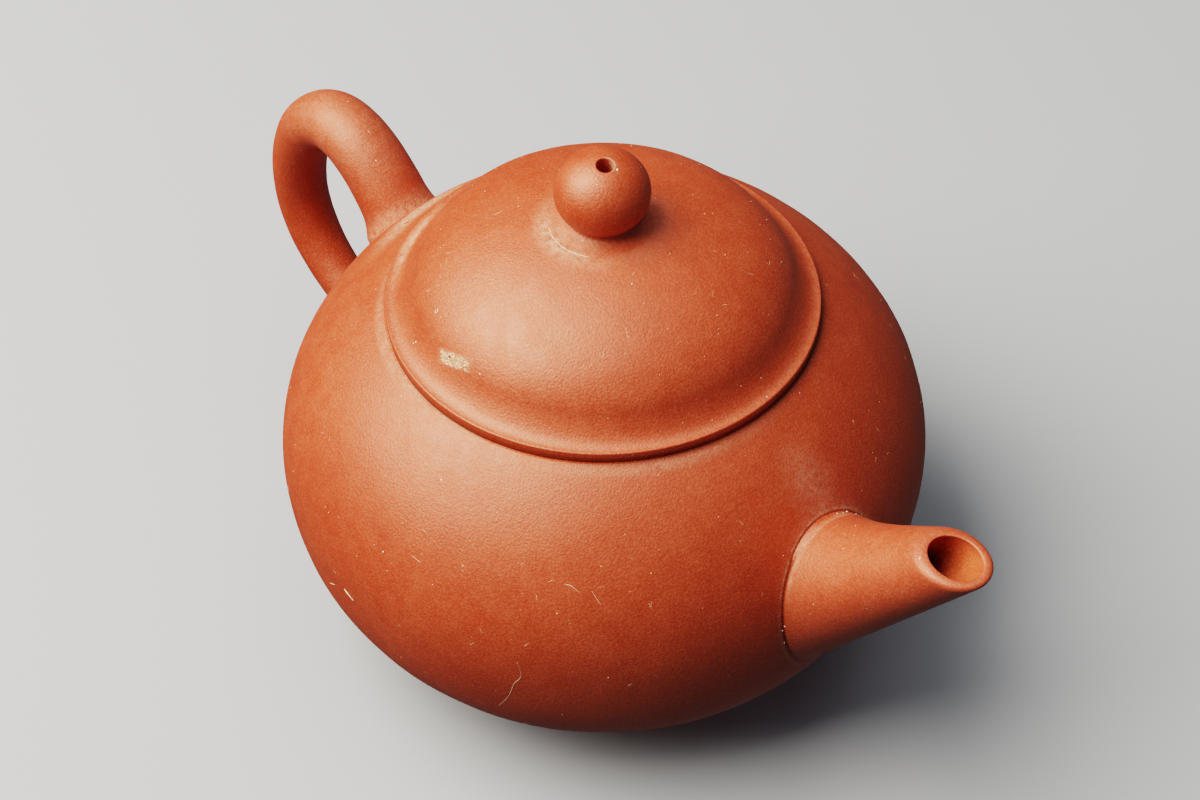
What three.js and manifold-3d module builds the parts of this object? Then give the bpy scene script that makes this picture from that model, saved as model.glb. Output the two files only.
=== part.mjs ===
// A small red-clay teapot with a back handle: a paddled body with a luted foot, mouth ring, strainer, spout
// and handle, and a loose lid with its own flange and pierced knob. Millimetres, +Z up, spout towards +X.
// The origin is on the pot's own axis, in the plane that the foot stands on.
import * as THREE from "three";
import { mergeVertices } from "three/addons/utils/BufferGeometryUtils.js";
import Module from "manifold-3d";

// Body: one superellipse above the belly line and another below it.
const bellyRadius = 39;
const bellyHeight = 26.5;
const shoulderRise = 28.5;
const shoulderFullness = 2;
const underbellyDrop = 30.7;
const underbellyFullness = 2.11;
const wallThickness = 2.4;

// Foot and floor.
const footHeight = 1.6;
const footRadius = 22.2;
const footWidth = 3;
const footRounding = 0.5;
const floorThickness = 2.4;

// Mouth, with the ring that the lid rests on.
const mouthRadius = 20.9;
const collarThickness = 2.6;
const mouthRingRadius = 25.3;
const mouthRingHeight = 0.7;
const mouthLedge = 0.25;

// Lid.
const lipRadius = 25.4;
const lipThickness = 0.8;
const edgeRounding = 0.25;
const domeRadius = 22.9;
const domeHeight = 12;
const domeThickness = 2.2;
const brimSweepRise = 3;
const flangeDepth = 7;
const flangeThickness = 1.7;
const flangeClearance = 0.3;

// Knob: a flattened ball on a short flared neck, with the vent bored through it and the lid.
const ballRadius = 5.55;
const ballHalfHeight = 4.9;
const ballCentreRise = 4.15;
const neckRadius = 3.9;
const neckFootRadius = 6.3;
const neckFootEdge = 0.2;
const ventRadius = 1.1;

// Strainer: a pierced dome set in a round hole in the wall behind the spout.
const strainerLedge = 0.2;
const strainerBulge = 4.2;
const strainerThickness = 1.2;
const strainerRimDepth = 2;
const sieveHoleRadius = 0.6;
const sievePitch = 2;

// Spout: a tapering tube whose sections turn from upright at the root to nearly level at the mouth.
const spoutRootTop = 38.6;
const spoutRootBottom = 17.4;
const spoutRootWidth = 17.4;
const spoutFlareAbove = 1.5;
const spoutFlareBeside = 0.9;
const spoutFlareSharpness = 4;
const spoutReach = 59.6;
const spoutMouthHeight = 48.5;
const spoutMouthLength = 9.1;
const spoutMouthWidth = 7.9;
const spoutMouthTilt = 5;
const spoutRootWall = 2.2;
const spoutMouthWall = 1.25;

// Handle: an ear-shaped loop that thins from its upper root to its lower one.
const handleRootTop = 37;
const handleRootBottom = 13.2;
const handleTop = 48.6;
const handleReach = 60.8;
const handleApexReach = 47.4;
const handleBackHeight = 30;
const handleRise = 56;
const handleUpperWidth = 9.2;
const handleLowerWidth = 5.3;
const handleFlatness = 0.9;
const handleFlare = 0.5;
const handleFlareLength = 3;

// Joints: flat luted faces touch, and curved ones keep room for the slip between them.
const slipGap = 0.3;
const buried = 5;

// Facets.
const potFacets = 48;
const handleFacets = 18;
const spoutFacets = 28;
const sieveFacets = 6;
const arcSteps = 8;
const smallArcSteps = 5;
const filletSteps = 4;
const spoutRings = 16;
const spoutRingCrowding = 1.5;
const handleRings = 32;

const wasm = await Module();
wasm.setup();

// Evenly spaced numbers from a to b, both included.
function steps(a, b, count) {
  return Array.from({ length: count + 1 }, (_, i) => a + ((b - a) * i) / count);
}

function point(radius, height) {
  return new THREE.Vector2(radius, height);
}

// Points of a superellipse arc round (0, centreHeight), between two heights measured from its centre.
function superArc(radius, rise, fullness, centreHeight, from, to, count) {
  const angleOf = (height) => Math.asin(Math.min(1, Math.abs(height) / rise)) * Math.sign(height);
  return steps(angleOf(from), angleOf(to), count).map((angle) => {
    const share = Math.abs(Math.sin(angle));
    const height = rise * Math.sin(angle);
    return point(radius * (1 - share ** fullness) ** (1 / fullness), centreHeight + height);
  });
}

// The body's outline, moved outwards by a margin, between two heights on its outer face.
function bodyArc(low, high, margin, count) {
  const below = superArc(
    bellyRadius + margin,
    underbellyDrop + margin,
    underbellyFullness,
    bellyHeight,
    low - bellyHeight,
    0,
    count,
  );
  const above = superArc(
    bellyRadius + margin,
    shoulderRise + margin,
    shoulderFullness,
    bellyHeight,
    0,
    high - bellyHeight,
    count,
  );
  return [...below, ...above.slice(1)];
}

// Radius at a height of the body's outer face, moved outwards by a margin.
function bodyRadiusAt(height, margin = 0) {
  const above = height > bellyHeight;
  const share = Math.abs(height - bellyHeight) / ((above ? shoulderRise : underbellyDrop) + margin);
  const fullness = above ? shoulderFullness : underbellyFullness;
  return (bellyRadius + margin) * (1 - share ** fullness) ** (1 / fullness);
}

// Height of the shoulder where the body's outer face has a given radius.
function shoulderHeightAt(radius) {
  const share = (radius / bellyRadius) ** shoulderFullness;
  return bellyHeight + shoulderRise * (1 - share) ** (1 / shoulderFullness);
}

function domeHeightAt(radius) {
  return domeHeight * Math.sqrt(1 - (radius / domeRadius) ** 2);
}

// A quadratic curve between two profile points, drawn towards a third.
function bend(from, towards, to, count) {
  return new THREE.QuadraticBezierCurve(from, towards, to).getPoints(count);
}

// Turns a closed profile of (radius, height) points about +Z.
function turned(profile, facets = potFacets) {
  return new THREE.LatheGeometry(profile, facets).rotateX(Math.PI / 2);
}

// A closed mesh as a manifold-3d solid.
function solidOf(geometry) {
  const bare = new THREE.BufferGeometry();
  bare.setAttribute("position", geometry.getAttribute("position").clone());
  bare.setIndex(geometry.index);
  const merged = mergeVertices(bare, 1e-4);
  const corners = Array.from(merged.index.array);
  const kept = [];
  for (let i = 0; i < corners.length; i += 3) {
    const [a, b, c] = corners.slice(i, i + 3);
    if (a !== b && b !== c && c !== a) kept.push(a, b, c);
  }
  return new wasm.Manifold(
    new wasm.Mesh({
      numProp: 3,
      vertProperties: merged.attributes.position.array,
      triVerts: new Uint32Array(kept),
    }),
  );
}

function geometryOf(solid) {
  const { numProp, vertProperties, triVerts } = solid.getMesh();
  const positions = new Float32Array((vertProperties.length / numProp) * 3);
  for (let i = 0; i < positions.length / 3; i += 1) {
    positions.set(vertProperties.subarray(i * numProp, i * numProp + 3), i * 3);
  }
  const geometry = new THREE.BufferGeometry();
  geometry.setAttribute("position", new THREE.BufferAttribute(positions, 3));
  geometry.setIndex(new THREE.BufferAttribute(triVerts, 1));
  geometry.computeVertexNormals();
  return geometry;
}

// A skin over rings of equal length, closed by a fan at each end.
function lofted(rings) {
  const around = rings[0].length;
  const middleOf = (ring) =>
    ring.reduce((sum, p) => sum.add(p), new THREE.Vector3()).divideScalar(around);
  const places = [...rings.flat(), middleOf(rings[0]), middleOf(rings.at(-1))];
  const index = [];
  for (let ring = 0; ring < rings.length - 1; ring += 1) {
    for (let i = 0; i < around; i += 1) {
      const next = (i + 1) % around;
      const [a, b] = [ring * around + i, ring * around + next];
      index.push(a, b, b + around, a, b + around, a + around);
    }
  }
  const last = (rings.length - 1) * around;
  for (let i = 0; i < around; i += 1) {
    const next = (i + 1) % around;
    index.push(places.length - 2, next, i);
    index.push(places.length - 1, last + i, last + next);
  }
  const geometry = new THREE.BufferGeometry().setFromPoints(places);
  geometry.setIndex(index);
  return geometry;
}

// An ellipse about a centre, with one half-axis as a vector in the XZ plane and the other along Y.
function ellipseRing(centre, halfAxis, halfWidth, facets) {
  return Array.from({ length: facets }, (_, i) => {
    const turn = (2 * Math.PI * i) / facets;
    return centre
      .clone()
      .addScaledVector(halfAxis, Math.cos(turn))
      .add(new THREE.Vector3(0, -halfWidth * Math.sin(turn), 0));
  });
}

// Heights that several pieces share.
const landRadius = mouthRingRadius + mouthLedge;
const landHeight = shoulderHeightAt(landRadius);
const seatHeight = landHeight + mouthRingHeight;
const lipTop = seatHeight + lipThickness;
const floorTop = footHeight + floorThickness;
const lidHollowRadius = mouthRadius - flangeClearance - flangeThickness;
const strainerHeight = (spoutRootTop + spoutRootBottom) / 2;
const strainerHoleRadius =
  Math.min(spoutRootWidth, spoutRootTop - spoutRootBottom) / 2 - spoutRootWall - strainerLedge;

// The body filled in and grown by the slip gap: what the spout and handle are cut back to.
function bodyEnvelope() {
  const side = bodyArc(footHeight, landHeight, slipGap, arcSteps * 2);
  const profile = [point(0, footHeight - slipGap), ...side, point(0, landHeight + slipGap)];
  return solidOf(turned(profile));
}

function bodyWall() {
  const outside = bodyArc(footHeight, landHeight, 0, arcSteps);
  const inside = bodyArc(footHeight, landHeight - collarThickness, -wallThickness, arcSteps).reverse();
  const profile = [
    ...outside,
    point(mouthRadius, landHeight),
    point(mouthRadius, landHeight - collarThickness),
    ...inside,
    outside[0].clone(),
  ];
  const passage = new THREE.CylinderGeometry(
    strainerHoleRadius,
    strainerHoleRadius,
    bellyRadius,
    spoutFacets,
  );
  passage.rotateZ(Math.PI / 2).translate(bellyRadius, 0, strainerHeight);
  return geometryOf(solidOf(turned(profile)).subtract(solidOf(passage)));
}

function baseDisc() {
  const edge = steps(footHeight, floorTop, filletSteps).map((height) =>
    point(bodyRadiusAt(height, -wallThickness - slipGap), height),
  );
  return turned([point(0, footHeight), ...edge, point(0, floorTop)]);
}

function footRing() {
  const inner = footRadius - footWidth;
  return turned([
    point(inner, footHeight),
    point(inner, footRounding),
    point(inner + footRounding, 0),
    point(footRadius - footRounding, 0),
    point(footRadius, footRounding),
    point(footRadius, footHeight),
    point(inner, footHeight),
  ]);
}

function mouthRing() {
  return turned([
    point(mouthRadius, landHeight),
    point(mouthRingRadius, landHeight),
    point(mouthRingRadius, seatHeight - edgeRounding),
    point(mouthRingRadius - edgeRounding, seatHeight),
    point(mouthRadius, seatHeight),
    point(mouthRadius, landHeight),
  ]);
}

// The brim is level at its edge and sweeps up until it runs along the dome's flank.
function lidDome() {
  const flankRadius = domeRadius * Math.sqrt(1 - (brimSweepRise / domeHeight) ** 2);
  const flankLean = (brimSweepRise / flankRadius) * (domeRadius / domeHeight) ** 2;
  const sweep = bend(
    point(lipRadius - edgeRounding, lipTop),
    point(flankRadius + flankLean * brimSweepRise, lipTop),
    point(flankRadius, lipTop + brimSweepRise),
    filletSteps,
  );
  const outside = superArc(
    domeRadius,
    domeHeight,
    2,
    lipTop,
    brimSweepRise,
    domeHeightAt(ventRadius),
    arcSteps,
  ).slice(1);
  const hollowHeight = lipThickness + domeHeight - domeThickness;
  const inside = superArc(
    lidHollowRadius,
    hollowHeight,
    2,
    seatHeight,
    0,
    hollowHeight * Math.sqrt(1 - (ventRadius / lidHollowRadius) ** 2),
    arcSteps,
  ).reverse();
  return turned([
    point(lipRadius - edgeRounding, seatHeight),
    point(lipRadius, seatHeight + edgeRounding),
    point(lipRadius, lipTop - edgeRounding),
    ...sweep,
    ...outside,
    ...inside,
    point(lipRadius - edgeRounding, seatHeight),
  ]);
}

function lidFlange() {
  const outer = mouthRadius - flangeClearance;
  const foot = seatHeight - flangeDepth;
  return turned([
    point(lidHollowRadius, foot),
    point(outer - edgeRounding, foot),
    point(outer, foot + edgeRounding),
    point(outer, seatHeight),
    point(lidHollowRadius, seatHeight),
    point(lidHollowRadius, foot),
  ]);
}

function knob() {
  const domeTop = lipTop + domeHeight;
  const centre = domeTop + ballCentreRise;
  const underside = [ventRadius, (ventRadius + neckFootRadius) / 2, neckFootRadius].map((radius) =>
    point(radius, lipTop + domeHeightAt(radius) + slipGap),
  );
  const footEdge = underside.at(-1).clone().add(point(0, neckFootEdge));
  const heightOnBall = (radius) => ballHalfHeight * Math.sqrt(1 - (radius / ballRadius) ** 2);
  const neckTop = point(neckRadius, centre - heightOnBall(neckRadius));
  const flare = bend(footEdge, point(neckRadius, footEdge.y + neckFootEdge), neckTop, filletSteps);
  const ball = superArc(
    ballRadius,
    ballHalfHeight,
    2,
    centre,
    -heightOnBall(neckRadius),
    heightOnBall(ventRadius),
    arcSteps,
  ).slice(1);
  return turned([...underside, ...flare, ...ball, underside[0].clone()], potFacets / 2);
}

// How far from the pot's axis the hole's edge comes closest, on the wall's outer face.
function strainerFaceReach() {
  const above = bodyRadiusAt(strainerHeight + strainerHoleRadius);
  const below = bodyRadiusAt(strainerHeight - strainerHoleRadius);
  const beside = Math.sqrt(bodyRadiusAt(strainerHeight) ** 2 - strainerHoleRadius ** 2);
  return Math.min(above, below, beside) - slipGap;
}

// A hole through the dome's crown, tilted and turned to its place about the dome's centre.
function sieveDrill(sphereRadius, tilt, turn) {
  const length = 2 * strainerThickness;
  const drill = new THREE.CylinderGeometry(sieveHoleRadius, sieveHoleRadius, length, sieveFacets);
  drill.rotateX(Math.PI / 2).translate(0, 0, sphereRadius - strainerThickness / 2);
  return solidOf(drill.rotateY(tilt).rotateZ(turn));
}

// The strainer stands about its own axis here, with the rim's spout-side face at height 0.
function strainer() {
  const rimRadius = strainerHoleRadius - slipGap;
  const sphereRadius = (rimRadius ** 2 + strainerBulge ** 2) / (2 * strainerBulge);
  const cap = (radius, edge) =>
    steps(Math.asin(edge / radius), 0, smallArcSteps).map((angle) =>
      point(radius * Math.sin(angle), radius * Math.cos(angle)),
    );
  const convex = cap(sphereRadius, rimRadius);
  const concave = cap(sphereRadius - strainerThickness, rimRadius - strainerThickness).reverse();
  const rimHeight = sphereRadius - strainerBulge - strainerRimDepth;
  const rim = [point(rimRadius - strainerThickness, rimHeight), point(rimRadius, rimHeight)];
  let dome = solidOf(turned([...concave, ...rim, ...convex], spoutFacets));

  const flank = sphereRadius * Math.asin(rimRadius / sphereRadius) - strainerThickness;
  const rows = Math.floor((flank - sieveHoleRadius) / sievePitch);
  for (let row = 0; row <= rows; row += 1) {
    const tilt = (row * sievePitch) / sphereRadius;
    const girth = 2 * Math.PI * (sphereRadius - strainerThickness) * Math.sin(tilt);
    const count = Math.max(1, Math.floor(girth / sievePitch));
    for (let i = 0; i < count; i += 1) {
      dome = dome.subtract(sieveDrill(sphereRadius, tilt, (2 * Math.PI * i) / count));
    }
  }
  return geometryOf(dome).translate(0, 0, -rimHeight);
}

// One section of the spout between its root, at share 0, and its mouth, at share 1.
function spoutSection(share, wall) {
  const tilt = THREE.MathUtils.degToRad(spoutMouthTilt);
  const outer = new THREE.Vector3(spoutReach, 0, spoutMouthHeight - (spoutMouthLength / 2) * Math.sin(tilt));
  const inner = outer
    .clone()
    .add(new THREE.Vector3(-Math.cos(tilt), 0, Math.sin(tilt)).multiplyScalar(spoutMouthLength));
  const coneTop = spoutRootTop - spoutFlareAbove;
  const flare = (1 - share) ** spoutFlareSharpness;
  const top = new THREE.Vector3(bodyRadiusAt(coneTop), 0, coneTop).lerp(inner, share);
  const bottom = new THREE.Vector3(bodyRadiusAt(spoutRootBottom), 0, spoutRootBottom).lerp(outer, share);
  top.z += spoutFlareAbove * flare;
  const centre = top.clone().add(bottom).divideScalar(2);
  const halfAxis = top.sub(centre);
  const coneHalfWidth = spoutRootWidth / 2 - spoutFlareBeside;
  const halfWidth =
    THREE.MathUtils.lerp(coneHalfWidth, spoutMouthWidth / 2, share) + spoutFlareBeside * flare;
  halfAxis.setLength(halfAxis.length() - wall);
  return ellipseRing(centre, halfAxis, halfWidth - wall, spoutFacets);
}

// The spout's outer skin, or its channel where hollow is true.
function spoutSkin(hollow) {
  const rings = steps(0, 1, spoutRings).map((stage) => {
    const share = stage ** spoutRingCrowding;
    const wall = hollow ? THREE.MathUtils.lerp(spoutRootWall, spoutMouthWall, share) : 0;
    return spoutSection(share, wall);
  });
  const inward = new THREE.Vector3(-buried, 0, 0);
  rings.unshift(rings[0].map((p) => p.clone().add(inward)));
  if (hollow) {
    const outward = new THREE.Vector3(0, 0, spoutMouthWall);
    rings.push(rings.at(-1).map((p) => p.clone().add(outward)));
  }
  return solidOf(lofted(rings));
}

function spout(envelope) {
  return geometryOf(spoutSkin(false).subtract(spoutSkin(true)).subtract(envelope));
}

// The handle's centreline, as (distance from the axis, height), from inside the body and back into it.
function handlePath() {
  const rise = THREE.MathUtils.degToRad(handleRise);
  const half = ((handleUpperWidth + handleLowerWidth) / 4) * handleFlatness;
  const root = point(bodyRadiusAt(handleRootTop), handleRootTop);
  const apexHeight = handleTop - half;
  const backReach = handleReach - half;
  const foot = point(bodyRadiusAt(handleRootBottom), handleRootBottom);
  const path = new THREE.Path();
  path.moveTo(root.x - buried * Math.cos(rise), root.y - buried * Math.sin(rise));
  path.lineTo(root.x, root.y);
  path.quadraticCurveTo(
    root.x + (apexHeight - root.y) / Math.tan(rise),
    apexHeight,
    handleApexReach,
    apexHeight,
  );
  path.absellipse(
    handleApexReach,
    handleBackHeight,
    backReach - handleApexReach,
    apexHeight - handleBackHeight,
    Math.PI / 2,
    0,
    true,
  );
  path.absellipse(
    foot.x,
    handleBackHeight,
    backReach - foot.x,
    handleBackHeight - foot.y,
    0,
    -Math.PI / 2,
    true,
  );
  path.lineTo(foot.x - buried, foot.y);
  return path;
}

function handle(envelope) {
  const path = handlePath();
  const length = path.getLength();
  const rings = steps(0, 1, handleRings).map((share) => {
    const centre = path.getPointAt(share);
    const tangent = path.getTangentAt(share);
    const fromRoot = Math.min(share * length, (1 - share) * length) - buried;
    const nearness = THREE.MathUtils.clamp(1 - fromRoot / handleFlareLength, 0, 1);
    const flare = handleFlare * nearness ** 2;
    const half = THREE.MathUtils.lerp(handleUpperWidth, handleLowerWidth, share) / 2 + flare;
    const across = new THREE.Vector3(-tangent.y, 0, -tangent.x).multiplyScalar(half * handleFlatness);
    return ellipseRing(new THREE.Vector3(-centre.x, 0, centre.y), across, half, handleFacets);
  });
  return geometryOf(solidOf(lofted(rings)).subtract(envelope));
}

const burnished = { color: 0xb4552f, roughness: 0.55, metalness: 0 };
const scraped = { color: 0xa9502f, roughness: 0.8, metalness: 0 };

function piece(name, geometry, finish) {
  const mesh = new THREE.Mesh(geometry, new THREE.MeshStandardMaterial(finish));
  mesh.name = name;
  return mesh;
}

const envelope = bodyEnvelope();
const pot = new THREE.Group();
pot.add(
  piece("body_wall", bodyWall(), burnished),
  piece("base_disc", baseDisc(), scraped),
  piece("foot_ring", footRing(), burnished),
  piece("mouth_ring", mouthRing(), burnished),
  piece("spout", spout(envelope), burnished),
  piece("handle", handle(envelope), burnished),
);

// The strainer's rim face stays inside the wall's outer face all the way round the hole.
const strainerPiece = piece("strainer", strainer(), scraped);
strainerPiece.rotation.y = -Math.PI / 2;
strainerPiece.position.set(strainerFaceReach(), 0, strainerHeight);
pot.add(strainerPiece);

const lid = new THREE.Group();
lid.add(
  piece("lid_dome", lidDome(), burnished),
  piece("lid_flange", lidFlange(), scraped),
  piece("knob", knob(), burnished),
);

const teapot = new THREE.Group();
teapot.add(pot, lid);

export default teapot;
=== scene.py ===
"""The looks of a small unglazed red-clay teapot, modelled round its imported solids.

Pieces are modelled in millimetres, with the pot's axis on Z and its spout towards +X, and become metres when
they become objects. The pot is one fired body, so each joint between clay pieces is closed here, with the
crease, the smear of slip and the old tea dust that such a joint keeps.
"""

from __future__ import annotations

import logging
import math
import random
from collections.abc import Callable, Sequence
from dataclasses import dataclass, field
from enum import Enum

import bmesh
import bpy
from mathutils import Matrix, Vector, noise
from mathutils.bvhtree import BVHTree

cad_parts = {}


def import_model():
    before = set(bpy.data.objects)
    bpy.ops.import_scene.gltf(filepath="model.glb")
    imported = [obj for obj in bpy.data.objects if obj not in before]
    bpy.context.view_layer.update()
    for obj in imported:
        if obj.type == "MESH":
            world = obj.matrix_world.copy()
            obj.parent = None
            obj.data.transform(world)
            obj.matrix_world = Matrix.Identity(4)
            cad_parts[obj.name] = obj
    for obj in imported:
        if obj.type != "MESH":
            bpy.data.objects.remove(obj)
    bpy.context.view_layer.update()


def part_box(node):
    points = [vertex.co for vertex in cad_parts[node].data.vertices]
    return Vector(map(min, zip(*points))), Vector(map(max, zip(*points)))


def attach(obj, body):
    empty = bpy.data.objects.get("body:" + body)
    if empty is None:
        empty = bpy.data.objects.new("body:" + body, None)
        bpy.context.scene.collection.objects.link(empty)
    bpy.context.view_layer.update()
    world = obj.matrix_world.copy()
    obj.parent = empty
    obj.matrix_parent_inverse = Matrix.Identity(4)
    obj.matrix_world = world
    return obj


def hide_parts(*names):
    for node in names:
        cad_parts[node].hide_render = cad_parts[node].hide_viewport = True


LOG = logging.getLogger("teapot")
METRES = 0.001
MERGED = 1e-5
TOUCHING = 1e-3
POT_SEGMENTS = 288
# The marks that each piece carries: dust above 0, painted shade below 0.
SOIL_AND_SHADE = "soil_and_shade"
NOISE_SPAN = {"From Min": 0.38, "From Max": 0.62}

Point = tuple[float, float]
Place = tuple[float, float, float]
Colour = tuple[float, float, float, float]
Skin = bmesh.types.BMesh
Socket = bpy.types.NodeSocket
Tree = bpy.types.NodeTree
PlaceMap = Callable[[Vector], float]


class Body(Enum):
    """The two loose bodies that every piece rides on."""

    POT = "pot"
    LID = "lid"


class Slot(Enum):
    """The record's material slots."""

    BURNISHED = "burnished_clay"
    SCRAPED = "scraped_clay"


def blend(low: float, high: float, share: float) -> float:
    """Returns the value that lies a share of the way from low to high."""
    return low + (high - low) * share


def fade(value: float, full: float, gone: float) -> float:
    """Falls smoothly from 1 to 0.

    Args:
        value: the number looked at.
        full: where the result is still 1.
        gone: where it has reached 0.

    Returns:
        A number from 0 to 1.
    """
    share = min(1.0, max(0.0, (gone - value) / (gone - full)))
    return share * share * (3.0 - 2.0 * share)


def grow(value: float, none: float, full: float) -> float:
    """Returns 0 up to one number, rising smoothly to 1 at another."""
    return fade(-value, -full, -none)


def ridge(value: float, middle: float, reach: float) -> float:
    """Returns 1 at the middle, falling smoothly to 0 at the reach on either side."""
    return fade(abs(value - middle), 0.0, reach)


def sector(place: Vector, middle: float, reach: float) -> float:
    """Returns 1 on one side of the pot, falling smoothly to 0 at the reach, both in degrees about Z."""
    turn = math.degrees(math.atan2(place.y, place.x)) - middle
    return fade(abs((turn + 180.0) % 360.0 - 180.0), 0.0, reach)


def arc(radius: float, rise: float, fullness: float, centre: float, low: float, high: float,
        count: int) -> list[Point]:
    """Points of a superellipse round (0, centre).

    Args:
        radius: half-axis across.
        rise: half-axis upwards.
        fullness: 2 for an ellipse, more for a squarer arc.
        centre: the centre's height.
        low: where the arc starts, as a height above the centre.
        high: where it ends, as a height above the centre.
        count: number of steps.

    Returns:
        (radius, height) points.
    """
    first = math.asin(max(-1.0, low / rise))
    last = math.asin(min(1.0, high / rise))
    points = []
    for step in range(count + 1):
        sine = math.sin(blend(first, last, step / count))
        across = max(0.0, 1.0 - abs(sine) ** fullness) ** (1.0 / fullness)
        points.append((radius * across, centre + rise * sine))
    return points


def bend(start: Point, towards: Point, end: Point, count: int) -> list[Point]:
    """Points of a quadratic curve.

    Args:
        start: first point.
        towards: the point that pulls the curve.
        end: last point.
        count: number of steps.

    Returns:
        (radius, height) points.
    """
    points = []
    for step in range(count + 1):
        t = step / count
        weights = ((1 - t) ** 2, 2 * t * (1 - t), t ** 2)
        points.append(tuple(sum(weight * point[axis] for weight, point in zip(weights, (start, towards, end)))
                            for axis in (0, 1)))
    return points


def quarter(centre: Point, start: Point, end: Point, count: int) -> list[Point]:
    """Points of a quarter of an ellipse, without its first one.

    Args:
        centre: the ellipse's centre.
        start: the end of one half-axis.
        end: the end of the other half-axis.
        count: number of steps.

    Returns:
        The points, up to the end.
    """
    turns = [math.pi / 2 * step / count for step in range(1, count + 1)]
    return [tuple(middle + (first - middle) * math.cos(turn) + (last - middle) * math.sin(turn)
                  for middle, first, last in zip(centre, start, end)) for turn in turns]


def band_profile(inner: float, outer: float, low: float, high: float) -> list[Point]:
    """Returns the profile of a flat-sided ring."""
    return [(inner, low), (outer, low), (outer, high), (inner, high)]


def turned(profile: Sequence[Point], segments: int = POT_SEGMENTS, closed: bool = False) -> Skin:
    """Spins a profile about Z into a closed skin.

    Args:
        profile: (radius, height) points; an open profile starts and ends on the axis.
        segments: steps in the full turn.
        closed: joins the last point to the first.

    Returns:
        The spun skin, facing outwards.
    """
    bm = bmesh.new()
    verts = [bm.verts.new((radius, 0.0, height)) for radius, height in profile]
    edges = [bm.edges.new(pair) for pair in zip(verts, verts[1:])]
    if closed:
        edges.append(bm.edges.new((verts[-1], verts[0])))
    bmesh.ops.spin(bm, geom=verts + edges, cent=(0, 0, 0), axis=(0, 0, 1), dvec=(0, 0, 0), angle=math.tau,
                   space=Matrix.Identity(4), steps=segments, use_merge=True, use_normal_flip=False,
                   use_duplicate=False)
    bmesh.ops.remove_doubles(bm, verts=bm.verts, dist=MERGED)
    bmesh.ops.recalc_face_normals(bm, faces=bm.faces)
    return bm


def round_edges(bm: Skin, edges: Sequence[bmesh.types.BMEdge], width: float, segments: int) -> None:
    """Rounds some edges of a skin.

    Args:
        bm: the skin.
        edges: the edges.
        width: how far the rounding reaches from an edge.
        segments: steps across the rounding.
    """
    bmesh.ops.bevel(bm, geom=edges, offset=width, offset_type="OFFSET", affect="EDGES", segments=segments,
                    profile=0.5, material=-1, clamp_overlap=True)


def round_loops(bm: Skin, corners: Sequence[Point], width: float, segments: int = 5) -> None:
    """Rounds the circular edges that pass through some profile points.

    Args:
        bm: a spun skin.
        corners: (radius, height) of each edge loop.
        width: how far the rounding reaches from the edge.
        segments: steps across the rounding.
    """
    def spot(vert: bmesh.types.BMVert) -> Point:
        """Returns a vertex's radius and height."""
        return vert.co.xy.length, vert.co.z

    loops = []
    for edge in bm.edges:
        ends = [spot(vert) for vert in edge.verts]
        level = all(abs(first - last) < TOUCHING for first, last in zip(*ends))
        if level and all(any(math.dist(end, corner) < TOUCHING for corner in corners) for end in ends):
            loops.append(edge)
    round_edges(bm, loops, width, segments)


def lofted(sections: Sequence[Matrix], segments: int, closed: bool) -> Skin:
    """Extrudes a circle through a row of sections.

    Args:
        sections: matrices that carry the unit circle to each section.
        segments: vertices round each section.
        closed: joins the last section to the first; otherwise both ends get a cap.

    Returns:
        The skin, facing outwards.
    """
    bm = bmesh.new()
    first = bmesh.ops.create_circle(bm, cap_ends=False, radius=1.0, segments=segments, matrix=sections[0])
    start = list({edge for vert in first["verts"] for edge in vert.link_edges})
    ring = start
    for before, after in zip(sections, sections[1:]):
        grown = bmesh.ops.extrude_edge_only(bm, edges=ring)["geom"]
        verts = [item for item in grown if isinstance(item, bmesh.types.BMVert)]
        fresh = set(verts)
        edges = [item for item in grown if isinstance(item, bmesh.types.BMEdge)]
        ring = [edge for edge in edges if fresh.issuperset(edge.verts)]
        bmesh.ops.transform(bm, matrix=after @ before.inverted(), verts=verts)
    if closed:
        bmesh.ops.bridge_loops(bm, edges=start + ring)
    else:
        bmesh.ops.holes_fill(bm, edges=start + ring, sides=segments)
    bmesh.ops.recalc_face_normals(bm, faces=bm.faces)
    return bm


def section(centre: Vector, half_axis: Vector, half_width: Vector) -> Matrix:
    """The matrix that carries the unit circle to an ellipse.

    Args:
        centre: the ellipse's centre.
        half_axis: one half-axis.
        half_width: the other one, square to it.

    Returns:
        A 4x4 matrix.
    """
    normal = half_axis.cross(half_width).normalized()
    return Matrix.Translation(centre) @ Matrix((half_axis, half_width, normal)).transposed().to_4x4()


def hand_worked(bm: Skin, depth: float, period: float, mask: PlaceMap | None = None) -> None:
    """Moves a skin in and out a little, as burnishing by hand leaves it.

    Args:
        bm: the skin.
        depth: the furthest that a point moves.
        period: distance between one swelling and the next.
        mask: share of the movement at each point; 1 everywhere if left out.
    """
    ripple_depth, ripples = 0.35, 2.7
    bm.normal_update()
    moves = []
    for vert in bm.verts:
        share = 1.0 if mask is None else mask(vert.co)
        swell = noise.noise(vert.co / period) + ripple_depth * noise.noise(vert.co * ripples / period)
        moves.append(vert.normal * (depth * share * swell))
    for vert, move in zip(bm.verts, moves):
        vert.co += move


def as_mesh(bm: Skin, name: str) -> bpy.types.Mesh:
    """Turns a skin into a mesh.

    Args:
        bm: the skin; it is freed.
        name: the mesh's name.

    Returns:
        The mesh.
    """
    mesh = bpy.data.meshes.new(name)
    bm.to_mesh(mesh)
    bm.free()
    return mesh


def in_scene(name: str, data: bpy.types.ID) -> bpy.types.Object:
    """Makes an object and puts it in the scene.

    Args:
        name: the object's name.
        data: its mesh, light or camera.

    Returns:
        The object.
    """
    made = bpy.data.objects.new(name, data)
    bpy.context.scene.collection.objects.link(made)
    return made


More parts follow.
